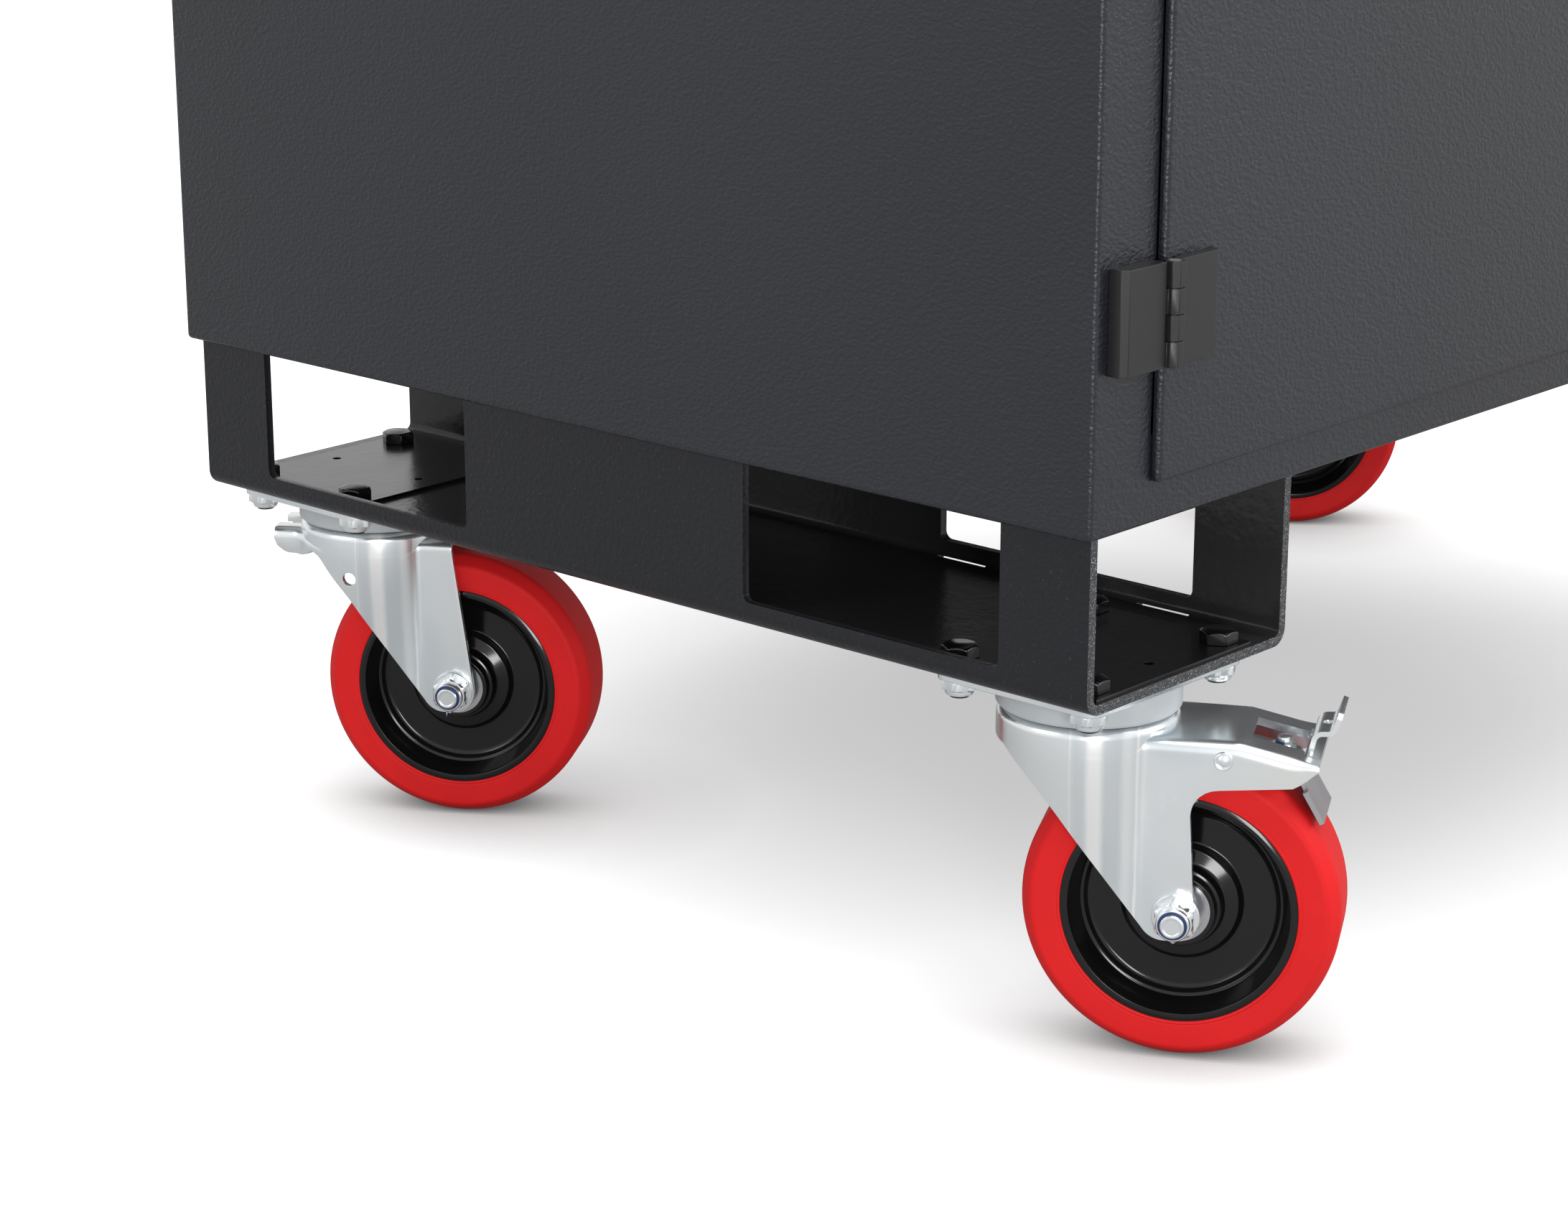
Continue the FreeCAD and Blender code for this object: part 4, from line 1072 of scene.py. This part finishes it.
        q = np.linspace(0, 1, rows + 1)[1:, None, None]
        straight = (1 - q) * waist + q * rim
        upper = (straight + (1 - front)[None, :, None] * (left[1:, None] - straight[:, :1])
                 + back[None, :, None] * (right[1:, None] - straight[:, -1:]))
        upper = np.concatenate([upper[:-1], rim[None]])
        upper_reach = np.interp(upper[..., 0], run, reach)
        return np.concatenate([self.points(leg, np.broadcast_to(height, leg.shape)),
                               self.points(upper_reach, upper[..., 1])])

    def above_waist(self, chain: Array, corner: Array, table: tuple[Array, Array]) -> Array:
        """Part of an edge above the waist as plan length and height, from the waist's corner."""
        upper = chain[chain[:, 1] > self.waist_height + 0.5]
        return np.concatenate([corner[None], np.stack([np.interp(upper[:, 0], *table), upper[:, 1]], axis=1)])

    def arm_wall(self, columns: Array) -> Array:
        """Grid of the brake arm's wall, from its lower edge to the rim; the first columns lean to the root."""
        edge = self.arm_edge()
        lean = (self.arm_start - edge[0, 0]) * (1 - smooth_step(columns, self.arm_start, self.slot_start))
        low = np.interp(columns - lean, edge[:, 0], edge[:, 1])
        t = np.linspace(0, 1, self.arm_rows + 1)[:, None]
        return self.points(columns - lean * (1 - t), low + t * (self.rim(columns) - low))

    def folded_top(self, reach: Array) -> Array:
        """Rows of the fold, each the plan curve moved inwards by r (1 - cos a), and of the flat top."""
        offset = self.plan_offset(reach, self.place.crown_top)
        slope = np.gradient(offset, reach)
        inward = np.stack([slope, -np.ones_like(slope)], axis=-1) / np.hypot(slope, 1)[:, None]
        if self.place.braked:
            inward[0] = (1.0, 0.0)
        radius = self.fold(reach)[None, :]
        angle = np.linspace(0, math.pi / 2, 9)[:, None]
        moved = radius * (1 - np.cos(angle))
        fold = np.stack([reach + inward[:, 0] * moved, np.maximum(offset + inward[:, 1] * moved, 0),
                         self.top(reach) - radius * (1 - np.sin(angle))], axis=-1)
        shares = np.array([20, 15, 10, 5, 0])[:, None] / (self.leg_half - self.arm_round)
        inner = fold[-1]
        flat = np.stack([np.broadcast_to(inner[:, 0], (5, len(reach))), inner[:, 1] * shares,
                         np.broadcast_to(inner[:, 2], (5, len(reach)))], axis=-1)
        return np.concatenate([fold, flat])

    def kept_faces(self, rows: int, top_reach: Array) -> Array:
        """Faces of the folded top without the arm's slot and notch or the tail's notch."""
        faces = quads(rows, len(top_reach))
        row, column = np.divmod(np.arange(len(faces)), len(top_reach) - 1)
        middle = (top_reach[column] + top_reach[column + 1]) / 2
        from_middle = rows - 2 - row
        if self.place.braked:
            gone = (from_middle < 3) & (middle > self.slot_start)
            gone |= (from_middle < 4) & (middle > self.notch_start)
        else:
            gone = (from_middle < 3) & (middle < -self.skirt_radius)
        return faces[~gone]

    def half_sheet(self) -> list[tuple[Array, Array]]:
        """Points and faces of the wall, the curtain and the folded top of one half."""
        neck = self.leading_edge()[-1]
        columns, before = self.top_columns(float(neck[0]))
        lead = columns[: before + 1]
        edge = self.curtain_edge(neck)
        low = np.minimum(np.interp(lead, edge[:, 0], edge[:, 1]), self.rim(lead))
        top = self.folded_top(columns)
        walls = [np.stack([self.points(lead, low), top[0, : before + 1]])]
        if self.place.braked:
            arm = int(np.searchsorted(columns, self.arm_start - 0.01))
            walls += [self.wall(columns[before: arm + 1]), self.arm_wall(columns[arm:])]
        else:
            walls.append(self.wall(columns[before:]))
        return [(wall, quads(*wall.shape[:2])) for wall in walls] + [(top, self.kept_faces(len(top), columns))]

    def build(self, zinc: bpy.types.Material) -> None:
        """Makes the sheet, gives it its thickness and rounded edges, and lets it ride.

        Args:
            zinc: the fork's finish.
        """
        corner = self.place.corner
        surface = Surface(f"{corner}_pressed_fork")
        for points, faces in self.half_sheet():
            surface.add(self.place.row(points), faces[:, ::-1])
            surface.add(self.place.row(points * np.array([1, -1, 1])), faces)
        mesh = surface.mesh()
        with edited(mesh) as edit:
            bmesh.ops.remove_doubles(edit, verts=edit.verts, dist=0.05 * MM)
            bmesh.ops.dissolve_degenerate(edit, edges=edit.edges, dist=0.02 * MM)
        hole = None
        if not self.place.braked:
            outline = circle(self.hole_reach, self.place.crown_top - self.hole_drop, self.hole_radius)
            hole = self.place.cutter(outline, -60.0, 60.0, (0, 2, 1))
        final = sheet_piece(mesh, self.sheet, -1.0, 0.7, hole)
        self.mark_reach(final)
        body = f"{corner}_swivel"
        settle(final, body, zinc, [f"{corner}_fork"], 40, outward=False)
        inner, outer = self.ring_inner, self.skirt_radius + 0.05
        ring = rounded([(inner, self.ring_low), (outer, self.ring_low), (outer, self.ring_top, self.ring_round),
                        (inner, self.ring_top, 0.6)])
        crown = Surface(f"{corner}_crown_ring").add(*turned(ring, self.place.swivel, UP, self.place.reach, 128))
        self.mark_reach(crown.piece(body, Slot.ZINC.value, zinc).data)

    def mark_reach(self, mesh: bpy.types.Mesh) -> None:
        """Writes each point's reach in millimetres, which the finish's painted highlight and shade bands
        follow.
        """
        points = np.empty(len(mesh.vertices) * 3)
        mesh.vertices.foreach_get("co", points)
        reach = (points.reshape(-1, 3) / MM - self.place.swivel) @ self.place.reach
        mesh.attributes.new("reach", "FLOAT", "POINT").data.foreach_set("value", reach)


@dataclass
class AxleFixings:
    """Axle bolt with washers, lock nut and spacers and, with a brake, the pivot rivet's heads."""

    place: CastorPlace
    leg_half: float = 33.0
    washer: float = 2.0
    flats: float = 19.0
    nut: float = 8.0
    collar: float = 3.5
    head: float = 7.5
    pivot_reach: float = 71.4
    pivot_drop: float = 8.8

    def build(self, zinc: bpy.types.Material, nylon: bpy.types.Material) -> None:
        """Makes the fixings and the nut's nylon ring.

        Args:
            zinc: finish of the metal.
            nylon: finish of the ring.
        """
        place, corner = self.place, self.place.corner
        body = f"{corner}_swivel"
        steel = Surface(f"{corner}_axle_set")
        steel.add(*turned(self.nut_profile(), place.axle, -place.across, place.reach, 96, False, self.flats))
        steel.add(*turned(self.head_profile(), place.axle, place.across, place.reach, 96, False, self.flats))
        spacer = rounded([(6.1, 25.4), (9.0, 25.4), (9.0, 29.1), (6.1, 29.1)])
        for side in (place.across, -place.across):
            steel.add(*turned(spacer, place.axle, side, place.reach, 48))
            if place.braked:
                pivot = place.row(np.array([self.pivot_reach, 0.0, place.crown_top - self.pivot_drop]))
                steel.add(*turned(self.rivet_profile(), pivot, side, place.reach, 48, False))
        steel.piece(body, Slot.ZINC.value, zinc, [f"{corner}_axle_fixings"], 30)
        end = self.leg_half + self.washer + self.nut + self.collar
        ring = rounded([(6.0, end - 1.2), (7.5, end - 1.2), (7.5, end - 0.1, 0.4), (6.0, end - 0.1, 0.4)])
        nut_ring = Surface(f"{corner}_nut_ring").add(*turned(ring, place.axle, -place.across, place.reach, 64))
        nut_ring.piece(body, Slot.CENTRE.value, nylon)

    def washer_rows(self, inner: float) -> list[tuple[float, float, int]]:
        """Rows of the washer, up to the hexagon's seat at an inner radius."""
        low, seat = self.leg_half, self.leg_half + self.washer
        return [(5.9, low - 0.2, 0), (11.6, low, 0), (12.0, low + 0.4, 0), (12.0, seat - 0.4, 0),
                (11.6, seat, 0), (inner, seat + 0.05, 0)]

    def hexagon_rows(self, height: float, chamfer: float, radius: float,
                     drop: float) -> list[tuple[float, float, int]]:
        """Rows of a hexagon.

        Args:
            height: its height above the washer.
            chamfer: height of the upper chamfer.
            radius: radius at which the chamfer ends.
            drop: how far below the height it ends.

        Returns:
            Rows of radius, offset and hexagon mark.
        """
        seat, wide = self.leg_half + self.washer, self.flats / math.sqrt(3)
        top = seat + height
        return [(10.1, seat + 0.1, 1), (wide, seat + 0.9, 1), (wide, top - chamfer, 1), (radius, top - drop, 1)]

    def nut_profile(self) -> Array:
        """Washer, chamfered hexagon, rounded collar with its groove, and the bolt's end."""
        top = self.leg_half + self.washer + self.nut
        end = top + self.collar
        tail = [(8.7, top + 0.1), (8.6, end - 1.4), (8.3, end - 0.6), (7.8, end - 0.1), (7.4, end - 0.1),
                (7.3, end - 0.6), (6.05, end - 0.6), (6.0, end + 1.3), (5.6, end + 1.8), (4.9, end + 2.0),
                (4.4, end + 1.9), (4.0, end + 1.6), (0.0, end + 1.6)]
        return np.array(self.washer_rows(10.1) + self.hexagon_rows(self.nut, 1.1, 9.3, 0.0)
                        + [(r, h, 0) for r, h in tail])

    def head_profile(self) -> Array:
        """Washer and chamfered hexagon head."""
        top = self.leg_half + self.washer + self.head
        return np.array(self.washer_rows(9.4) + self.hexagon_rows(self.head, 1.0, 9.2, 0.05)
                        + [(8.8, top, 0), (0.0, top, 0)])

    def rivet_profile(self) -> Array:
        """Rivet head: a ring round a shallow dome."""
        rows = [(2.4, -0.2), (4.7, 0.0), (4.8, 0.6), (4.5, 1.3), (4.0, 1.6), (3.5, 1.5), (3.2, 1.0), (2.9, 1.1),
                (2.2, 1.7), (1.2, 1.95), (0.0, 2.0)]
        return np.array(rows) + np.array([0.0, self.leg_half])


@dataclass
class BrakePedal:
    """Stepped pedal with its hole, the apron that closes the arm's end, and the barrel with its trunnions."""

    place: CastorPlace
    pivot: tuple[float, float] = (111.0, -14.5)
    half_width: float = 16.0
    sheet: float = 2.5
    corner_round: float = 3.0
    hole_reach: float = 118.3
    hole_radius: float = 2.7
    apron_half: float = 19.6
    barrel_radius: float = 3.5
    barrel_half: float = 19.6
    trunnion_radius: float = 1.75
    trunnion_half: float = 33.0

    def build(self, zinc: bpy.types.Material) -> None:
        """Makes the bent strip, and the barrel with the apron.

        Args:
            zinc: the pedal's finish.
        """
        place = self.place
        corner = place.corner
        body = f"{corner}_brake_pedal"
        points = self.strip()
        mesh = Surface(f"{corner}_stepped_pedal").add(place.row(points), quads(*points.shape[:2])).mesh()
        low, high = place.crown_top - 1.0, place.crown_top + 7.0
        hole = place.cutter(circle(self.hole_reach, 0.0, self.hole_radius), low, high, (0, 1, 2))
        settle(sheet_piece(mesh, self.sheet, 0.0, 0.7, hole), body, zinc, [body], 40)
        pivot = place.row(np.array([self.pivot[0], 0.0, self.pivot[1] + place.crown_top]))
        half = np.array([(0.0, self.trunnion_half), (self.trunnion_radius, self.trunnion_half),
                         (self.trunnion_radius, self.barrel_half), (self.barrel_radius - 0.5, self.barrel_half),
                         (self.barrel_radius, self.barrel_half - 0.5)])
        barrel = Surface(f"{corner}_pedal_barrel")
        barrel.add(*turned(mirrored_profile(half), pivot, place.across, place.reach, 40, False))
        apron = rounded([(111.4, -7.3), (117.4, -8.6, 0.7), (117.4, -11.0, 0.7), (111.4, -9.7)], steps=3)
        apron = apron + np.array([0.0, place.crown_top])
        points, faces = pushed(apron, -self.apron_half, self.apron_half, (0, 2, 1))
        barrel.add(place.row(points), faces)
        barrel.piece(body, Slot.ZINC.value, zinc)

    def strip(self) -> Array:
        """Grid of the strip's middle: a bent path of reach and height, spread across.

        The half width h is constant up to the tab's corners of radius r, where it falls as
        h - r + root(r^2 - d^2), d being the way since the corner's start.
        """
        corners = [(109.9, -14.2), (113.7, 2.7, 4.4), (122.2, 3.2, 4.2), (125.6, 13.6)]
        path = along(rounded(corners, closed=False, steps=10), 90)
        way = np.concatenate([[0], np.cumsum(np.hypot(*np.diff(path, axis=0).T))])
        past = np.clip(way - (way[-1] - self.corner_round), 0, self.corner_round)
        half = self.half_width - self.corner_round + np.sqrt(self.corner_round ** 2 - past ** 2)
        across = half[:, None] * np.linspace(-1, 1, 17)[None, :]
        reach, rise = (np.broadcast_to(path[:, i:i + 1], across.shape) for i in (0, 1))
        return np.stack([reach, across, rise + self.place.crown_top], axis=-1)


def brake_screw(place: CastorPlace, zinc: bpy.types.Material, blue: bpy.types.Material) -> None:
    """Adjusting screw that stands in the arm's slot, with its nut and locking paint.

    Args:
        place: the castor.
        zinc: finish of screw and nut.
        blue: the paint's finish.
    """
    reach, base, flats = 97.7, 155.5, 10.0
    steps, painted_steps = 48, 12
    rows = [(4.0, 0.0, 0), (5.2, 0.1, 1), (5.7, 0.5, 1), (5.7, 7.4, 1), (4.9, 7.9, 1), (4.2, 8.0, 0),
            (4.1, 10.4, 0), (3.6, 11.3, 0), (2.4, 11.8, 0), (0.0, 12.0, 0)]
    centre = place.row(np.array([reach, 0.0, base]))
    body = f"{place.corner}_brake_blade"
    screw = turned(np.array(rows), centre, UP, place.across, steps, False, flats)
    Surface(f"{place.corner}_brake_screw").add(*screw).piece(body, Slot.ZINC.value, zinc, sharp_degrees=30)
    drop = rounded([(3.9, 7.8), (5.0, 7.8, 0.5), (4.6, 9.2, 0.5), (3.9, 9.4)])
    ring, faces = turned(drop, centre, UP, -place.reach, steps)
    kept = faces[np.arange(len(faces)) // len(drop) < painted_steps]
    Surface(f"{place.corner}_locking_paint").add(ring, kept).piece(body, Slot.CENTRE.value, blue)


def swivel_cups(places: Sequence[CastorPlace], grey: bpy.types.Material) -> None:
    """Bearing cups under the top plates, with a rounded lower lip.

    Args:
        places: the castors.
        grey: their finish.
    """
    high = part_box("swivel_cups")[1]
    base, top = 177.4, high.z / MM
    inner, outer = 41.6, 46.45
    profile = rounded([(inner, top), (outer, top), (outer, base + 1.6, 0.8), (45.2, base + 0.4, 0.6),
                       (44.4, base, 0.4), (inner, base, 0.8)])
    cups = Surface("rounded_swivel_cups")
    for place in places:
        cups.add(*turned(profile, place.swivel, UP, place.reach, 96))
    cups.piece("cabinet", Slot.CUP.value, grey, ["swivel_cups"], 40)


def castor_nuts(places: Sequence[CastorPlace], zinc: bpy.types.Material) -> None:
    """Lock nuts and bolt ends below the top plates.

    Args:
        places: the castors.
        zinc: their finish.
    """
    low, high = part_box("castor_nuts")
    base, top = low.z / MM, high.z / MM
    pitch, flats = (105.0, 80.0), 17.0
    wide, hexagon, collar = flats / math.sqrt(3), 5.5, 2.5
    rows = [(4.9, -0.1, 0), (9.0, 0.0, 1), (wide, 0.8, 1), (wide, hexagon - 0.9, 1), (8.1, hexagon, 1),
            (7.3, hexagon + 0.05, 0), (7.2, hexagon + collar - 1.0, 0), (6.7, hexagon + collar, 0),
            (6.1, hexagon + collar, 0), (5.9, hexagon + collar - 0.6, 0), (5.0, hexagon + collar - 0.6, 0),
            (5.0, top - base - 0.6, 0), (4.4, top - base, 0), (0.0, top - base, 0)]
    nuts = Surface("rounded_castor_nuts")
    for place in places:
        for side, ahead in ((-1, -1), (-1, 1), (1, -1), (1, 1)):
            centre = place.swivel + np.array([side * pitch[0] / 2, ahead * pitch[1] / 2, top])
            nuts.add(*turned(np.array(rows), centre, -UP, place.reach, 48, False, flats))
    nuts.piece("cabinet", Slot.ZINC.value, zinc, ["castor_nuts"], 30)


# Studio


@dataclass(frozen=True)
class Lamp:
    """Broad lamp, with its places and sides in millimetres."""

    name: str
    place: tuple[float, float, float]
    aim: tuple[float, float, float]
    size: tuple[float, float]
    watts: float

    def build(self) -> None:
        """Puts the lamp in the scene and turns it to its aim."""
        light = bpy.data.lights.new(self.name, "AREA")
        light.shape = "RECTANGLE"
        light.size, light.size_y = (side * MM for side in self.size)
        light.energy = self.watts
        made = linked(self.name, light)
        made.location = Vector(self.place) * MM
        made.rotation_euler = (Vector(self.aim) - Vector(self.place)).to_track_quat("-Z", "Y").to_euler()


LAMPS = (Lamp("overhead", (-300, -500, 3600), (0, 0, 300), (3200, 3200), 100.0),
         Lamp("front_key", (1900, -3500, 1900), (0, 0, 500), (2000, 2000), 45.0),
         Lamp("left_fill", (-3600, 900, 2000), (0, 0, 700), (1500, 1500), 15.0),
         Lamp("upright", (-3250, -3110, 900), (-434, -271, 500), (650, 1700), 58.0))


@dataclass(frozen=True)
class Studio:
    """Camera, pale floor and soft light."""

    eye: tuple[float, float, float] = (-1778.4, -1281.0, 732.2)
    yaw_degrees: float = 47.935
    pitch_degrees: float = 16.895
    focal_pixels: float = 4947.6
    photo_width: int = 2184
    floor_half: float = 30000.0
    floor_colour: float = 0.45
    floor_lift: float = 0.48
    away_lift: float = 0.60
    away_start: float = 0.15
    away_end: float = 0.72
    near_gloss: float = 0.16
    far_gloss: float = 0.45
    gloss_start: float = 0.5
    gloss_end: float = 4.0
    # Painted shadow under the wheels: its reach in millimetres, its depth and its occlusion samples.
    painted_shadow_reach: float = 110.0
    painted_shadow_depth: float = 0.95
    painted_shadow_samples: int = 12
    ambient: float = 0.36

    def build(self) -> None:
        """Sets up camera, floor, world and lamps."""
        self.camera()
        self.floor()
        self.world()
        for lamp in LAMPS:
            lamp.build()

    def camera(self) -> None:
        """Camera at the photograph's place, aimed by yaw from +Y towards +X and by pitch below level."""
        lens = bpy.data.cameras.new("photo_camera")
        lens.sensor_fit = "HORIZONTAL"
        lens.sensor_width = 36.0
        lens.lens = lens.sensor_width * self.focal_pixels / self.photo_width
        lens.clip_end = 200.0
        made = linked("photo_camera", lens)
        yaw, pitch = math.radians(self.yaw_degrees), math.radians(self.pitch_degrees)
        ahead = Vector((math.sin(yaw) * math.cos(pitch), math.cos(yaw) * math.cos(pitch), -math.sin(pitch)))
        made.rotation_euler = ahead.to_track_quat("-Z", "Y").to_euler()
        made.location = Vector(self.eye) * MM
        bpy.context.scene.camera = made

    def floor(self) -> None:
        """Pale floor that keeps the shadow and fades to white away from the box, also in reflections."""
        half = self.floor_half * MM
        mesh = bpy.data.meshes.new("studio_floor")
        corners = [(-half, -half, 0), (half, -half, 0), (half, half, 0), (-half, half, 0)]
        mesh.from_pydata(corners, [], [(0, 1, 2, 3)])
        made = linked("studio_floor", mesh)
        recipe = Recipe("pale_floor")
        clear = self.outside_painted_shadow(recipe)
        pale = tuple([self.floor_colour] * 3)
        # Painted shadow: the floor's colour goes towards black where a wheel stands close over it.
        colour = recipe.mixed(clear, (0.0, 0.0, 0.0), pale)
        shade = recipe.node("ShaderNodeBsdfDiffuse", sockets={"Color": colour})
        away = recipe.node("ShaderNodeVectorMath", {"operation": "LENGTH"}, {0: recipe.place()}, "Value")
        shown = self.seen(recipe, 0.0)
        mirror = self.near_gloss + away.step(self.gloss_start, self.gloss_end) * self.far_gloss
        gloss = (self.seen(recipe, 1.0) - shown) * mirror
        pale_lift = self.floor_lift + away.step(self.away_start, self.away_end) * self.away_lift
        # The painted shadow also takes away the lift near the wheels.
        lift = recipe.node("ShaderNodeEmission", sockets={"Strength": shown * pale_lift * clear + gloss})
        both = recipe.node("ShaderNodeAddShader", sockets={0: shade, 1: lift})
        recipe.node("ShaderNodeOutputMaterial", sockets={"Surface": both})
        mesh.materials.append(recipe.material)

    def outside_painted_shadow(self, recipe: Recipe) -> Signal:
        """Share outside a painted wheel shadow: 1 on the open floor, less where a wheel stands close over it.
        """
        open_share = recipe.node("ShaderNodeAmbientOcclusion", {"samples": self.painted_shadow_samples},
                                 {"Distance": self.painted_shadow_reach * MM}, "AO")
        return 1 - (1 - open_share) * self.painted_shadow_depth

    @staticmethod
    def seen(recipe: Recipe, mirrored: float = 1.0) -> Signal:
        """1 for rays that show the background to the camera or through glass, and a share of it for gloss."""
        camera, glass, gloss = (recipe.node("ShaderNodeLightPath", output=f"Is {kind} Ray")
                                for kind in ("Camera", "Transmission", "Glossy"))
        return camera + glass * (1 - camera) + gloss * (1 - camera) * mirrored

    def world(self) -> None:
        """White to the camera and to reflections, softer as light."""
        world = bpy.data.worlds.new("studio_world")
        world.use_nodes = True
        bpy.context.scene.world = world
        world.node_tree.nodes.clear()
        recipe = Recipe("studio_world", world.node_tree)
        light = self.ambient + self.seen(recipe) * (1.0 - self.ambient)
        sky = recipe.node("ShaderNodeBackground", sockets={"Color": (1.0, 1.0, 1.0, 1.0), "Strength": light})
        recipe.node("ShaderNodeOutputWorld", sockets={"Surface": sky})


# The box


@dataclass
class Finishes:
    """One material of each finish, shared by the pieces."""

    paint: bpy.types.Material = field(default_factory=lambda: HammeredPaint().make())
    left_skid: bpy.types.Material = field(default_factory=lambda: SkidPaint(side="left").make())
    right_skid: bpy.types.Material = field(default_factory=lambda: SkidPaint(side="right").make())
    black: bpy.types.Material = field(default_factory=lambda: GlossBlack().make())
    hinge: bpy.types.Material = field(default_factory=lambda: SatinBlack().make())
    zinc: bpy.types.Material = field(default_factory=lambda: ZincPlate().make())
    fork: bpy.types.Material = field(default_factory=lambda: ZincPlate("zinc_fork", painted_bands=True).make())
    tyre: bpy.types.Material = field(default_factory=lambda: TyreRed().make())
    centre: bpy.types.Material = field(default_factory=lambda: MouldedBlack().make())
    cup: bpy.types.Material = field(
        default_factory=lambda: PlainCoat("cup_grey", tint(206, 211, 214), 0.5).make())
    bearing: bpy.types.Material = field(
        default_factory=lambda: PlainCoat("bearing_steel", (0.5, 0.5, 0.52), 0.25, 1.0).make())
    nylon: bpy.types.Material = field(
        default_factory=lambda: PlainCoat("blue_nylon", tint(30, 60, 110), 0.35).make())
    shoe: bpy.types.Material = field(
        default_factory=lambda: PlainCoat("shoe_steel", (0.42, 0.42, 0.44), 0.38, 1.0).make())


def dress_nodes(finishes: Finishes) -> None:
    """Gives every CAD node the finish of its slot.

    Args:
        finishes: the shared materials.
    """
    by_slot = {Slot.PAINT: finishes.paint, Slot.BLACK: finishes.black, Slot.HINGE: finishes.hinge,
               Slot.ZINC: finishes.zinc, Slot.CUP: finishes.cup, Slot.TYRE: finishes.tyre,
               Slot.CENTRE: finishes.centre, Slot.BEARING: finishes.bearing, Slot.SHOE: finishes.shoe}
    by_node = {"left_skid": finishes.left_skid, "right_skid": finishes.right_skid}
    for part in frame["record"]["subparts"]:
        node = frame["nodes"][part["node"]]
        node.data.materials.clear()
        node.data.materials.append(by_node.get(part["node"], by_slot[Slot(part["material_slot"])]))


def soften_edges(finishes: Finishes) -> None:
    """Rounds the edges of the small hard pieces, which then catch the light.

    Args:
        finishes: the shared materials.
    """
    edges = {"frame_hinge_leaves": (finishes.hinge, 0.8), "left_door_hinge_leaves": (finishes.hinge, 0.8),
             "right_door_hinge_leaves": (finishes.hinge, 0.8), "kingpins": (finishes.zinc, 0.4),
             "castor_bolts": (finishes.black, 0.4), "packing_plates": (finishes.black, 0.4),
             "lock_escutcheon": (finishes.hinge, 0.6), "lock_handle": (finishes.hinge, 1.2, 3),
             "left_skid": (finishes.left_skid, 0.7), "right_skid": (finishes.right_skid, 0.7)}
    for node, (material, *edge) in edges.items():
        softened(node, material, *edge)
    for corner in CORNERS:
        if corner.startswith("front"):
            softened(f"{corner}_brake_blade", finishes.shoe, 0.5)
        softened(f"{corner}_top_plate", finishes.zinc, 0.5)


def main() -> None:
    """Builds the studio and the box, and reports each piece."""
    logging.basicConfig(level=logging.INFO, format="%(name)s: %(message)s")
    bpy.context.scene.view_settings.view_transform = "Standard"
    Studio().build()
    finishes = Finishes()
    dress_nodes(finishes)
    places = [CastorPlace.of(corner) for corner in CORNERS]
    for place in places:
        Wheel(place).build(finishes.tyre, finishes.centre)
        PressedFork(place).build(finishes.fork)
        AxleFixings(place).build(finishes.zinc, finishes.nylon)
        if place.braked:
            BrakePedal(place).build(finishes.zinc)
            brake_screw(place, finishes.zinc, finishes.nylon)
    swivel_cups(places, finishes.cup)
    castor_nuts(places, finishes.zinc)
    soften_edges(finishes)


if __name__ == "__main__":
    main()
